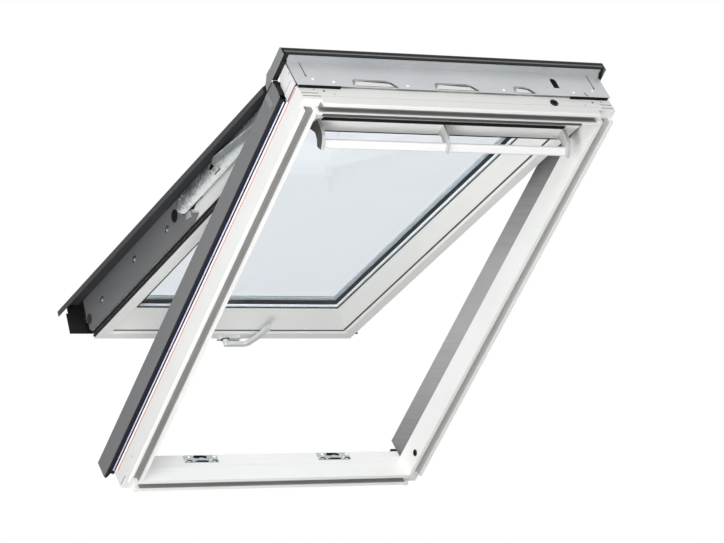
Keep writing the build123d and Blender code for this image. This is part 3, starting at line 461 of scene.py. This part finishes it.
def panHead(radius, height):
    # screw head with a round drive recess
    return [(radius, -0.4), (radius, height * 0.45), (radius * 0.8, height * 0.9), (radius * 0.5, height),
            (radius * 0.46, height * 0.9), (radius * 0.4, height * 0.2), (radius * 0.1, height * 0.15)]


edges = {"sharp": 35, "rounded": 40, "segments": 2}  # degrees from which an edge stays sharp or is rounded


def finishPiece(name, shape, body, material, rounding=0.3):
    # mesh to object, with its material, its edges rounded and its body
    bmesh.ops.recalc_face_normals(shape, faces=shape.faces[:])
    mesh = bpy.data.meshes.new(name)
    shape.to_mesh(mesh)
    shape.free()
    for face in mesh.polygons:
        face.use_smooth = True
    mesh.set_sharp_from_angle(angle=math.radians(edges["sharp"]))
    mesh.materials.append(material)
    piece = bpy.data.objects.new(name, mesh)
    bpy.context.scene.collection.objects.link(piece)
    if rounding:
        rounded = piece.modifiers.new("rounding", "BEVEL")
        rounded.width = rounding / 1000
        rounded.segments = edges["segments"]
        rounded.limit_method = "ANGLE"
        rounded.angle_limit = math.radians(edges["rounded"])
    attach(piece, body)
    return piece


def frameRing(shape, halfOut, lowOut, halfIn, lowIn, start, end):
    # rectangular ring around the glass of the sash, between two depths
    corners = []
    for half, low in ((halfOut, lowOut), (halfIn, lowIn)):
        high = sashHeight - low
        outline = [(-half, low), (half, low), (half, high), (-half, high)]
        for depth in (start, end):
            corners.append([shape.verts.new(sashPoint(x, e, depth)) for x, e in outline])
    for first, second in ((0, 1), (1, 3), (3, 2), (2, 0)):
        for i in range(4):
            shape.faces.new((corners[first][i - 1], corners[first][i], corners[second][i], corners[second][i - 1]))


def flip(points, way):
    # mirrored for the left side, as it is for the right
    return [(way * a, b) for a, b in points]


# Painted shade lining the grooves of the rails, paler in the right-hand one, and a painted shadow line beside it
railSizes = {
    "sideGroove": [(381.2, -11.5), (380.4, -0.05), (362.1, -0.05), (361.3, -11.5),
                   (361.9, -11.5), (362.7, -0.65), (379.8, -0.65), (380.6, -11.5)],
    "topGroove": [(1153.2, -11.5), (1154.05, -0.05), (1169.4, -0.05), (1169.9, -11.5),
                  (1169.3, -11.5), (1168.8, -0.65), (1154.6, -0.65), (1153.8, -11.5)],
    "bottomGroove": [(8.8, -11.5), (9.6, -0.05), (25.9, -0.05), (26.7, -11.5),
                     (26.1, -11.5), (25.3, -0.65), (10.2, -0.65), (9.4, -11.5)],
    "sideEnds": (32.5, frameHeight - 22.5),
    "topHalf": 346,
    "bottomHalf": 351,
    "shadowLine": [(361.4, -14.3), (364.6, -0.7), (362.8, -0.7), (361.2, -14.3)],
    "shadowEnds": (32.5, 1155),
}
for side, way in bothSides:
    shape = bmesh.new()
    block(shape, roofPoint, 1, flip(railSizes["sideGroove"], way), *railSizes["sideEnds"])
    finishPiece("groove_shade_" + side, shape, "frame", litGrooveShade if way > 0 else grooveShade, 0)
    if way > 0:
        shape = bmesh.new()
        block(shape, roofPoint, 1, railSizes["shadowLine"], *railSizes["shadowEnds"])
        finishPiece("groove_shadow_line", shape, "frame", blackRubber, 0)
for end in ("top", "bottom"):
    shape = bmesh.new()
    block(shape, roofPoint, 0, railSizes[end + "Groove"], -railSizes[end + "Half"], railSizes[end + "Half"])
    finishPiece("groove_shade_" + end, shape, "frame", grooveShade, 0)

# Joints, nail holes and the seam on the head of the frame
headMarks = {
    "joints": [[(-386, 18.3), (-346, 18.1)], [(-387, 8.8), (-343, 9.2)],
               [(358, 18.6), (389, 18.1)], [(357, 8), (389.6, 8.4)]],
    "jointWidth": 1.5,
    "holes": {2.4: [(-330, 26), (342, 24.6)],  # radius to places
              1.3: [(-352.6, 29), (-308, 16.7), (364.8, 27.2), (319.5, 15.6)]},
    "seam": [(-352, 9.7), (352, 9.7), (352, 10.3), (-352, 10.3)],
    "deep": 1,
    "proud": {"joint": 0.1, "hole": 0.12},
    "seamDepths": (1.2, 0.5),
}
shape = bmesh.new()
for line in headMarks["joints"]:
    block(shape, roofPoint, 1, band(line, headMarks["jointWidth"]),
          frameHeight - headMarks["deep"], frameHeight + headMarks["proud"]["joint"])
for radius, places in headMarks["holes"].items():
    for hole in places:
        block(shape, roofPoint, 1, circle(hole, radius),
              frameHeight - headMarks["deep"], frameHeight + headMarks["proud"]["hole"])
block(shape, roofPoint, 1, headMarks["seam"], *[frameHeight - depth for depth in headMarks["seamDepths"]])
finishPiece("head_marks", shape, "frame", hollowBlack, 0)

# Red guide line, black seal line and silvered tape along the outside of each side rail
sideLines = {
    "red": [(388.9, 37.4), (390.12, 37.4), (390.12, 39.8), (388.9, 39.8)],
    "filler": [(388.6, 38.6), (390.06, 38.6), (390.06, 41.6), (388.6, 41.6)],
    "white": [(390.0, 41.7), (391.35, 42.6), (392.1, 44.3), (391.8, 44.4), (391.1, 43.0), (390.0, 42.2)],
    "black": [(391.9, 43.9), (393.8, 47.5), (393.3, 47.6), (391.6, 44.0)],
    "tape": [(393.8, 47.4), (394.3, 48.0), (395.5, 49.6), (395.2, 49.8), (394.0, 48.3), (393.5, 47.6)],
    "fold": [(395.5, 49.6), (398.2, 53.4), (397.9, 53.6), (395.2, 49.8)],
    "corner": [(389.0, 42.0), (390.1, 42.0), (390.1, 45.2), (389.0, 45.2)],
    "clip": [(393.6, 47.3), (394.9, 48.7), (394.6, 49.1), (393.2, 47.7)],
    "clipPlaces": range(40, 1110, 58),
    "clipLength": 5,
    "ends": {"red": (14, 1172), "filler": (0.5, frameHeight - 0.5), "white": (6.2, 1129.8), "black": (8, 1129.8),
             "tape": (5, 1124), "fold": (4, 1126), "corner": (1129, 1176)},
}
sideMarks = {
    "blueLine": band([(1137, 64.4), (1170, 65.2)], 2.6),
    "blueFaces": (389.5, 390.1),
    "black": [circle((1174, 82), 1.4), circle((90, 13), 1.4), band([(5, 5.4), (35, 5.2)], 1.6)],
    "blackFaces": (389.2, 390.1),
}
for side, way in bothSides:
    for pieceName, lines, slotName, finish in (
            ("guide_line_", ("red",), "white_lacquer", redInk),
            ("guide_margin_", ("filler", "white"), "white_lacquer", whiteLacquer),
            ("seal_line_", ("black", "corner"), "black_rubber", blackRubber),
            ("seal_tape_", ("tape",), "mill_aluminium", silverTape),
            ("seal_fold_", ("fold",), "black_rubber", navyRubber)):
        shape = bmesh.new()
        for line in lines:
            block(shape, roofPoint, 1, flip(sideLines[line], way), *sideLines["ends"][line])
        if pieceName == "seal_line_":  # clips that hold the tape
            for s in sideLines["clipPlaces"]:
                block(shape, roofPoint, 1, flip(sideLines["clip"], way), s, s + sideLines["clipLength"])
        finishPiece(pieceName + side, shape, "frame", finish, 0)
    # Marks on the corner block at the top, and on the side face at the bottom
    shape = bmesh.new()
    block(shape, roofPoint, 0, sideMarks["blueLine"], *[way * face for face in sideMarks["blueFaces"]])
    finishPiece("block_line_" + side, shape, "frame", blueInk, 0)
    shape = bmesh.new()
    for mark in sideMarks["black"]:
        block(shape, roofPoint, 0, mark, *[way * face for face in sideMarks["blackFaces"]])
    finishPiece("side_marks_" + side, shape, "frame", hollowBlack, 0)
print("rails dressed")

# Seals at the upper corners, with the curled end of the seal line under the plate
headSeals = {
    "hoodSeal": [(390.3, 106.4), (403.6, 106.4), (403.6, 108.0), (390.3, 108.3)],
    "hoodEnds": (1133, 1187),
    "endCap": [(390.3, 62), (401.8, 62), (401.8, 106), (390.3, 106)],
    "capEnds": (1130.4, 1133.2),
    "foot": [(401.6, -27), (401.6, 2), (390.2, 2), (390.2, -3), (397, -22)],
    "footEnds": (54.5, 59.9),
    "curl": [(1176, 40), (1180, 38.5), (1183.4, 40.5), (1183.6, 45), (1181.4, 45.5), (1181, 42.2), (1179.4, 41.4),
             (1177, 43)],
    "curlFaces": (386.5, 390.8),
}
for side, way in bothSides:
    shape = bmesh.new()
    block(shape, roofPoint, 1, flip(headSeals["hoodSeal"], way), *headSeals["hoodEnds"])
    block(shape, roofPoint, 1, flip(headSeals["endCap"], way), *headSeals["capEnds"])
    block(shape, roofPoint, 2, flip(headSeals["foot"], way), *headSeals["footEnds"])
    block(shape, roofPoint, 0, headSeals["curl"], *[way * face for face in headSeals["curlFaces"]])
    finishPiece("corner_seal_" + side, shape, "frame", blackRubber, 0.4)

# Cut-outs of the head plate: painted shade behind them and under the lower edge of the plate, their bright rims and
# the tongues below
plateDetails = {
    "keyhole": [(254.4, 58.7), (270.6, 58.7), (270.6, 83.5), (268.4, 89), (262.5, 91.2), (256.6, 89), (254.4, 83.5)],
    "keyholeBack": [(251, 56), (274, 56), (274, 94), (251, 94)],
    "slitBack": [(357, 60), (365, 60), (365, 103), (357, 103)],
    "slots": [(-251, -150), (-49, 51), (150, 196)],
    "edgeShade": [(-388, -288), (287, 384)],
    "edgeShadeLevels": (33.1, 35.1),
    "slotLevels": (37.9, 39.6),
    "hook": band([(327, 48.5), (329, 43), (334, 37)], 1.8),
    "rimWidths": {"keyhole": 1.4, "slot": 1.0},
}
plateDepths = {  # up the slope, from the back of each detail to its front
    "keyhole": (1180, 1182.6), "slit": (1181, 1182.8), "edgeShade": (1178.1, 1184.6), "slot": (1183.4, 1184.9),
    "hook": (1184.9, 1185.4), "keyholeRim": (1184.8, 1185.7), "slotRim": (1184.8, 1185.6), "tongue": (1179, 1183.2),
    "brightFold": (1185.1, 1186.0), "shadedFold": (1185.1, 1185.7), "arch": (1185.1, 1185.6),
}


def levelStrip(start, end, levels):
    # outline of a straight strip between two levels
    low, high = levels
    return [(start, low), (end, low), (end, high), (start, high)]


shape = bmesh.new()
block(shape, roofPoint, 1, plateDetails["keyholeBack"], *plateDepths["keyhole"])
for side, way in bothSides:
    block(shape, roofPoint, 1, flip(plateDetails["slitBack"], way), *plateDepths["slit"])
for start, end in plateDetails["edgeShade"]:
    block(shape, roofPoint, 1, levelStrip(start, end, plateDetails["edgeShadeLevels"]), *plateDepths["edgeShade"])
for start, end in plateDetails["slots"]:
    block(shape, roofPoint, 1, levelStrip(start, end, plateDetails["slotLevels"]), *plateDepths["slot"])
block(shape, roofPoint, 1, plateDetails["hook"], *plateDepths["hook"])
finishPiece("plate_shadows", shape, "frame", hollowBlack, 0)
shape = bmesh.new()
rim = plateDetails["keyhole"] + plateDetails["keyhole"][:1]
for start, end in zip(rim, rim[1:]):
    block(shape, roofPoint, 1, band([start, end], plateDetails["rimWidths"]["keyhole"]), *plateDepths["keyholeRim"])
for start, end in plateDetails["slots"]:
    arch = [(start + 5, 56.2), (end - 24, 56.2), (end - 12, 52.4)]
    block(shape, roofPoint, 1, band(arch, plateDetails["rimWidths"]["slot"]), *plateDepths["slotRim"])
finishPiece("plate_rims", shape, "frame", millAluminium, 0.2)
shape = bmesh.new()
for start, end in plateDetails["slots"]:
    tongue = [(start + 1, 39.4), (end - 1, 39.4), (end - 13, 52), (start + 6, 56)]
    block(shape, roofPoint, 1, tongue, *plateDepths["tongue"])
finishPiece("plate_tongues", shape, "frame", whiteLacquer, 0.4)

# Painted highlight: a lighter line along the hood bar, where its rolled edge catches the light
hoodBarLine = {"outline": [(1204.9, 114.6), (1205.2, 114.6), (1205.2, 118.4), (1204.9, 118.4)], "half": 399}
shape = bmesh.new()
block(shape, roofPoint, 0, hoodBarLine["outline"], -hoodBarLine["half"], hoodBarLine["half"])
finishPiece("hood_bar_highlight", shape, "frame", darkAluminium, 0)

# Fold along the upper edge of the plate, with a painted highlight above and painted shade below, and its domed rivets
plateFold = {
    "start": -352,
    "end": 340,
    "bright": (106.4, 108.8),
    "dark": (104, 105.8),
    "archWidth": 1.3,
    "rivets": [(-348, 54), (-300, 47.6), (-121, 45), (120, 45.7), (300, 47), (353, 55.4)],
    "dome": [(3.6, -0.2), (3.3, 0.9), (2.2, 1.6), (0.5, 1.8)],
    "plateFace": 1185.2,
}
shape = bmesh.new()
block(shape, roofPoint, 1, levelStrip(plateFold["start"], plateFold["end"], plateFold["bright"]),
      *plateDepths["brightFold"])
finishPiece("plate_fold_highlight", shape, "frame", highlightAndRivetAluminium, 0)
shape = bmesh.new()
block(shape, roofPoint, 1, levelStrip(plateFold["start"], plateFold["end"], plateFold["dark"]),
      *plateDepths["shadedFold"])
for start, end in plateDetails["slots"]:  # painted shade along the arch of each cut-out
    arch = [(start - 4, 40), (start - 1, 55.5), (start + 4, 57.6), (end - 23, 57.6), (end - 11, 53.6), (end + 3, 38.2)]
    block(shape, roofPoint, 1, band(arch, plateFold["archWidth"]), *plateDepths["arch"])
finishPiece("plate_fold_shadows", shape, "frame", shadeGrey, 0)
shape = bmesh.new()
for rivet in plateFold["rivets"]:
    turned(shape, roofPoint, 1, rivet, plateFold["plateFace"], 1, plateFold["dome"], 20)
finishPiece("plate_rivets", shape, "frame", highlightAndRivetAluminium, 0)

# Strap that ties the hood to the cladding, with its screw
hoodStrap = {
    "outline": [(1084.5, 72), (1086, 70.5), (1099.5, 70.5), (1101, 72), (1100, 104.6), (1085, 104.6)],
    "inner": 402,
    "outer": 402.9,
    "screw": (1092.4, 79),
    "head": panHead(3.2, 1.1),
}
for side, way in bothSides:
    shape = bmesh.new()
    block(shape, roofPoint, 0, hoodStrap["outline"], way * hoodStrap["inner"], way * hoodStrap["outer"])
    turned(shape, roofPoint, 0, hoodStrap["screw"], way * hoodStrap["outer"], way, hoodStrap["head"])
    finishPiece("hood_strap_" + side, shape, "frame", hoodGrey, 0.3)
print("head dressed")

# Arms: painted shade, a black sheet seen through the holes; screws and a lug; brake disc and clip beside their lower
# end
armParts = {
    "holeShade": [(585, 52.5), (1040, 52.5), (1040, 94), (585, 94)],
    "holeShadeFaces": (353.4, 354.4),
    "screws": [((546.5, 84.8), 360.2), ((555, 63.8), 360.6), ((561, 85.6), 360.1)],  # place and face
    "screwHead": panHead(3.4, 1.6),
    "lug": [(769, 82), (778, 82), (778, 88), (769, 88)],
    "lugFaces": (360, 362.4),
    "brakeDisc": [(15, -0.3), (15, 0.15), (14.4, 0.3), (9, 0.3), (8.6, 0.1), (1, 0.1)],
    "brakePlace": (490, 72),
    "rubber": [(571, 47.5), (556, 55), (543, 60), (560, 66), (604, 63)],
    "rubberFaces": (345, 350.3),
    "clip": [(536, 40), (551, 54), (562, 49), (562, 34)],
    "clipFaces": (348, 350.7),
}
panelFace = 350  # outer face of the side panels, from the middle of the window
for side, way in bothSides:
    shape = bmesh.new()
    block(shape, sashPoint, 0, armParts["holeShade"], *[way * face for face in armParts["holeShadeFaces"]])
    finishPiece("arm_hole_shade_" + side, shape, "arms", hollowBlack, 0)
    shape = bmesh.new()
    for spot, level in armParts["screws"]:
        turned(shape, sashPoint, 0, spot, way * level, way, armParts["screwHead"])
    block(shape, sashPoint, 0, armParts["lug"], *[way * face for face in armParts["lugFaces"]])
    finishPiece("arm_screws_" + side, shape, "arms", zincScrew, 0.3)
    shape = bmesh.new()
    turned(shape, sashPoint, 0, armParts["brakePlace"], way * panelFace, way, armParts["brakeDisc"], 36)
    block(shape, sashPoint, 0, armParts["rubber"], *[way * face for face in armParts["rubberFaces"]])
    finishPiece("brake_rubber_" + side, shape, "sash", blackRubber, 0.4)
    shape = bmesh.new()
    block(shape, sashPoint, 0, armParts["clip"], *[way * face for face in armParts["clipFaces"]])
    finishPiece("panel_clip_" + side, shape, "sash", satinAluminium, 0.4)

# Screws of the side panels, each in a pressed recess, with a painted shadow on its upper side
panelScrews = {
    "places": [(85, 58), (273, 70), (446, 59)],
    "head": panHead(4.2, 1.8),
    "recessRadius": 8.5,
    "recessAngles": range(20, 215, 15),
    "recessWidth": 2.6,
    "recessFaces": (349.8, 350.3),
}
shape = bmesh.new()
for side, way in bothSides:
    for spot in panelScrews["places"]:
        turned(shape, sashPoint, 0, spot, way * panelFace, way, panelScrews["head"])
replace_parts(finishPiece("panel_screw_heads", shape, "sash", zincScrew, 0), "panel_screws")
shape = bmesh.new()
for side, way in bothSides:
    for e, w in panelScrews["places"]:
        crescent = [(e + panelScrews["recessRadius"] * math.cos(math.radians(angle)),
                     w + panelScrews["recessRadius"] * math.sin(math.radians(angle)))
                    for angle in panelScrews["recessAngles"]]
        block(shape, sashPoint, 0, band(crescent, panelScrews["recessWidth"]),
              *[way * face for face in panelScrews["recessFaces"]])
finishPiece("panel_recess_shadows", shape, "sash", hollowBlack, 0)

# Spacer of the double glazing, pale on the room side and black beyond, with its seals
glazing = {
    "slopeHalf": sashHalf - 73.7,
    "slopeLow": 92.6,
    "spacerOut": 4,
    "spacerIn": 5.4,
    "front": 41.05,
    "bright": 46,
    "gap": 0.05,
    "back": 56.95,
    "outerSeal": (sashHalf - 61, 81.6, sashHalf - 90, 109, 61.05, 63),  # outer and inner edge, then the depths
    "lip": (0.4, 3.6),
    "lipDepths": (36.0, 36.95),
}
outHalf, outLow = glazing["slopeHalf"] + glazing["spacerOut"], glazing["slopeLow"] - glazing["spacerOut"]
inHalf, inLow = glazing["slopeHalf"] - glazing["spacerIn"], glazing["slopeLow"] + glazing["spacerIn"]
shape = bmesh.new()
frameRing(shape, outHalf, outLow, inHalf, inLow, glazing["front"], glazing["bright"])
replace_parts(finishPiece("spacer_bright", shape, "sash", paleSilicone, 0), "spacer")
shape = bmesh.new()
frameRing(shape, outHalf, outLow, inHalf, inLow, glazing["bright"] + glazing["gap"], glazing["back"])
finishPiece("spacer_dark", shape, "sash", hollowBlack, 0)
shape = bmesh.new()
frameRing(shape, *glazing["outerSeal"])
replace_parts(finishPiece("outer_seal", shape, "sash", paleSilicone, 0), "outer_gasket")
shape = bmesh.new()
lipOut, lipIn = glazing["lip"]
frameRing(shape, glazing["slopeHalf"] - lipOut, glazing["slopeLow"] + lipOut,
          glazing["slopeHalf"] - lipIn, glazing["slopeLow"] + lipIn, *glazing["lipDepths"])
finishPiece("glazing_lip", shape, "sash", blackRubber, 0)

# Painted shade: a dark strip in the groove between the flat edge of the sash and its slope
grooveShadeStrip = {
    "start": 33.4,
    "end": 36.6,
    "proud": 0.08,
    "flatEnd": 30,
    "flatDepth": 2.5,
    "slope": 33.2 / 62.6,
    "thick": 0.5,
    "shortened": 0.93,
    "side": [(32.6, 4.0), (35.6, 6.2), (35.6, 6.9), (32.6, 4.7)],  # inwards from the edge, then depth
}
near, far = grooveShadeStrip["start"], grooveShadeStrip["end"]
rise = [grooveShadeStrip["flatDepth"] + (a - grooveShadeStrip["flatEnd"]) * grooveShadeStrip["slope"] - grooveShadeStrip["proud"]
        for a in (near, far)]
lineHalf = sashHalf - far * grooveShadeStrip["shortened"]
shape = bmesh.new()
for sign, edge in ((1, 0), (-1, sashHeight)):
    block(shape, sashPoint, 0, [(edge + sign * near, rise[0]), (edge + sign * far, rise[1]),
                                (edge + sign * far, rise[1] + grooveShadeStrip["thick"]),
                                (edge + sign * near, rise[0] + grooveShadeStrip["thick"])], -lineHalf, lineHalf)
for side, way in bothSides:
    block(shape, sashPoint, 1, [(way * (sashHalf - a), w) for a, w in grooveShadeStrip["side"]], far, sashHeight - far)
finishPiece("sash_groove_shade", shape, "sash", shadeGrey, 0)

# Painted shade on the flap: a dark plate on its left end, a dark strip for the gap above it and dark lines along its
# edges, and a dark strip for the gap under the lip of the frame's head
flapHalf = sashHalf - 40.7
flapLines = {  # down from the upper edge of the sash, then depth
    "endShade": [(34, -0.3), (46, -0.3), (50, -3), (31, -24), (30, -42), (36, -54), (26, -68), (16, -57), (7, -43),
                 (8, -23), (13, -3)],
    "upperGapShade": [(11, -4.3), (-1, -4.1), (-1, -5.2), (11, -5.4)],
    "lowerEdge": [(41.6, -12.1), (40.1, -14.1), (39, -13.8), (39.4, -15), (41, -15), (42.4, -12.6)],
    "barTopShade": [(34.6, -56.6), (33.6, -55.8), (35.2, -53.8), (36.4, -54.4)],
}
flapLines = {name: [(sashHeight - down, w) for down, w in line] for name, line in flapLines.items()}
endShadeFaces = (-flapHalf - 8.05, -flapHalf - 9)
lipGapShade = {"start": -338, "end": 309, "levels": (frameHeight - 27, frameHeight - 33), "depths": (-14.6, -15.4)}
shape = bmesh.new()
block(shape, sashPoint, 0, flapLines["endShade"], *endShadeFaces)
finishPiece("flap_end_shade", shape, "flap", shadeGrey, 0.3)
shape = bmesh.new()
for name in ("upperGapShade", "lowerEdge", "barTopShade"):
    block(shape, sashPoint, 0, flapLines[name], -flapHalf, flapHalf)
finishPiece("flap_shade_lines", shape, "flap", hollowBlack, 0)
shape = bmesh.new()
block(shape, roofPoint, 2, levelStrip(lipGapShade["start"], lipGapShade["end"], lipGapShade["levels"]), *lipGapShade["depths"])
finishPiece("lip_gap_shade", shape, "frame", shadeGrey, 0)
print("sash and arms dressed")

# Strikers: plates with an eye at each end, a keeper opening drawn as painted shadow and its tongue between them
strikers = {
    "places": {"left": -180, "right": 172},
    "plate": [(-43, 43), (-39, 41), (39, 41), (43, 43), (43, 63), (39, 65), (-39, 65), (-43, 63)],
    "plateDepths": (31.6, 33.4),
    "eyes": (-33, 33),
    "eyeLevel": 53,
    "eyeProfile": [(10, -0.3), (10, 1.6), (8.5, 2.5), (7, 1.6), (6.4, 0.4), (1, 0.4)],
    "tongue": [(-8, 47.5), (13, 46.5), (15, 52), (3, 55), (-7, 53)],
    "tongueDepths": (33.2, 36),
    "opening": [(-17, 57), (-8, 55.5), (4, 58), (16, 54), (18, 60), (8, 62.5), (-14, 63)],
    "openingDepths": (33.3, 34.6),
    "foot": [(-18, 44.5), (16, 43.5), (20, 46), (-8, 47.4)],
    "footDepths": (33.3, 34.8),
    "eyeShadow": [(-8, 44), (-2, 48), (5, 48), (9, 43.5), (4, 45.5), (-2, 45)],
    "shadowDepths": (33.3, 36.2),
}


def shifted(points, reach):
    # outline moved sideways
    return [(reach + a, b) for a, b in points]


for side, centre in strikers["places"].items():
    shape = bmesh.new()
    block(shape, roofPoint, 1, shifted(strikers["plate"], centre), *strikers["plateDepths"])
    for spot in strikers["eyes"]:
        turned(shape, roofPoint, 1, (centre + spot, strikers["eyeLevel"]), strikers["plateDepths"][1], 1,
               strikers["eyeProfile"], 28)
    block(shape, roofPoint, 1, shifted(strikers["tongue"], centre), *strikers["tongueDepths"])
    plate = finishPiece("striker_plate_" + side, shape, "frame", satinAluminium, 0.3)
    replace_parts(plate, "striker_" + side)
    shape = bmesh.new()
    block(shape, roofPoint, 1, shifted(strikers["opening"], centre), *strikers["openingDepths"])
    block(shape, roofPoint, 1, shifted(strikers["foot"], centre), *strikers["footDepths"])
    for spot in strikers["eyes"]:
        block(shape, roofPoint, 1, shifted(strikers["eyeShadow"], centre + spot), *strikers["shadowDepths"])
    finishPiece("striker_shadows_" + side, shape, "frame", hollowBlack, 0)

# Handle: painted shade, a dark ring between base and lever, a dark strip under the base and a dark line along the foot
# of its face
handleJoints = {
    "leverShade": (-6, 10),
    "leverShadeLevel": -6.9,
    "leverShadeProfile": [(10.5, -0.05), (10.5, 0.5), (9.5, 0.8), (1, 0.8)],
    "under": [(1.2, -6.2), (2.1, -6.2), (2.1, -0.2), (1.2, -0.2)],
    "underEnds": (-22, 34),
    "front": [(-26, 2), (36, 2), (36, 3.6), (-26, 3.6)],
    "frontDepths": (-7.15, -6.8),
}
shape = bmesh.new()
turned(shape, sashPoint, 2, handleJoints["leverShade"], handleJoints["leverShadeLevel"], -1, handleJoints["leverShadeProfile"], 32)
block(shape, sashPoint, 0, handleJoints["under"], *handleJoints["underEnds"])
block(shape, sashPoint, 2, handleJoints["front"], *handleJoints["frontDepths"])
finishPiece("handle_shadows", shape, "sash", hollowBlack, 0)

# Dark socket of the cleaning bolt and the seal that closes the foot of each channel
boltSocket = {"place": (92, 4.6), "face": 351.5, "profile": [(4.9, -1), (4.9, 0.2), (1, 0.2)]}
channelEnd = {"outline": [(364, 62), (400, 62), (400, 102), (364, 102)], "ends": (-5, 2)}
shape = bmesh.new()
turned(shape, roofPoint, 0, boltSocket["place"], boltSocket["face"], -1, boltSocket["profile"], 28)
finishPiece("bolt_socket", shape, "frame", hollowBlack, 0)
for side, way in bothSides:
    shape = bmesh.new()
    block(shape, roofPoint, 1, flip(channelEnd["outline"], way), *channelEnd["ends"])
    finishPiece("channel_end_" + side, shape, "frame", blackRubber, 0.4)
print("fittings dressed")

# Camera at the photograph's viewing angle
cameraView = {
    "place": (-3.8741, -6.9908, 0.3316),
    "forward": (0.5081, 0.8611, 0.0185),
    "up": (-0.0099, -0.0157, 0.9998),
    "lens": 170.8,
    "sensor": 36.0,
}
cameraData = bpy.data.cameras.new("camera")
cameraData.sensor_width = cameraView["sensor"]
cameraData.lens = cameraView["lens"]
cameraData.clip_end = 100
camera = bpy.data.objects.new("camera", cameraData)
bpy.context.scene.collection.objects.link(camera)
forward = Vector(cameraView["forward"]).normalized()
rightward = forward.cross(Vector(cameraView["up"])).normalized()
upward = rightward.cross(forward)
camera.matrix_world = Matrix.Translation(cameraView["place"]) @ Matrix(
    (rightward, upward, -forward)).transposed().to_4x4()
bpy.context.scene.camera = camera

# Soft round lamps, places in metres
lamps = {
    "key": {"place": (-3.0, -2.4, 0.4), "aim": (-0.2, -0.4, 0.4), "size": 1.6, "watts": 34},
    "front": {"place": (-1.6, -1.9, -0.7), "aim": (-0.2, -0.1, 0.2), "size": 0.9, "watts": 30},
    "high": {"place": (-1.6, -5.0, 3.2), "aim": (0, -0.6, 0.5), "size": 2.0, "watts": 152},
    "top": {"place": (-0.5, 0.6, 4.2), "aim": (0, -0.4, 0.3), "size": 3.0, "watts": 20},
}
for lampName, lamp in lamps.items():
    lampData = bpy.data.lights.new(lampName, "AREA")
    lampData.shape = "DISK"
    lampData.size = lamp["size"]
    lampData.energy = lamp["watts"]
    light = bpy.data.objects.new(lampName, lampData)
    bpy.context.scene.collection.objects.link(light)
    light.visible_camera = False
    light.location = lamp["place"]
    light.rotation_euler = (Vector(lamp["aim"]) - Vector(lamp["place"])).to_track_quat("-Z", "Y").to_euler()

# White studio around the object, dim as a light and full where camera, gloss and glass see it
studioLevels = {"asLight": 0.2, "asSeen": 1.0}
world = bpy.data.worlds.new("studio")
bpy.context.scene.world = world
world.use_nodes = True
sky = world.node_tree
sky.nodes.clear()
rays = addNode(sky, "ShaderNodeLightPath")
seen = addNode(sky, "ShaderNodeMath", {"operation": "MAXIMUM"},
               {0: rays.outputs["Is Camera Ray"], 1: rays.outputs["Is Glossy Ray"]})
seenAll = addNode(sky, "ShaderNodeMath", {"operation": "MAXIMUM"},
                  {0: seen.outputs[0], 1: rays.outputs["Is Transmission Ray"]})
strength = addNode(sky, "ShaderNodeMapRange", {"To Min": studioLevels["asLight"], "To Max": studioLevels["asSeen"]},
                   {"Value": seenAll.outputs[0]})
studio = addNode(sky, "ShaderNodeBackground", {"Color": (1, 1, 1, 1)}, {"Strength": strength.outputs[0]})
addNode(sky, "ShaderNodeOutputWorld", links={"Surface": studio.outputs[0]})

# Round floor that fades to white towards its edge
studioFloor = {"radius": 3.2, "fade": 2.0, "place": (0, -0.4, -0.95), "segments": 96, "paint": "#dededd"}
floorMesh = bpy.data.meshes.new("floor")
builder = bmesh.new()
bmesh.ops.create_circle(builder, cap_ends=True, segments=studioFloor["segments"], radius=studioFloor["radius"])
builder.to_mesh(floorMesh)
builder.free()
floor = bpy.data.objects.new("floor", floorMesh)
floor.location = studioFloor["place"]
bpy.context.scene.collection.objects.link(floor)
floorPaint, floorTree, floorShader, floorPlace = startMaterial(
    "pale studio floor",
    {"Base Color": toLinear(studioFloor["paint"]), "Roughness": 0.8, "Specular IOR Level": 0.1})
distance = addNode(floorTree, "ShaderNodeVectorMath", {"operation": "LENGTH"}, {0: floorPlace})
edge = addNode(floorTree, "ShaderNodeMapRange", {"From Min": studioFloor["fade"], "From Max": studioFloor["radius"]},
               {"Value": distance.outputs["Value"]})
white = addNode(floorTree, "ShaderNodeEmission", {"Strength": 1.0})
faded = addNode(floorTree, "ShaderNodeMixShader",
                links={0: edge.outputs[0], 1: floorShader.outputs[0], 2: white.outputs[0]})
floorOutput = next(n for n in floorTree.nodes if n.type == "OUTPUT_MATERIAL")
floorTree.links.new(faded.outputs[0], floorOutput.inputs["Surface"])
floor.data.materials.append(floorPaint)

bpy.context.scene.view_settings.view_transform = "Standard"
print("camera, lamps and floor")
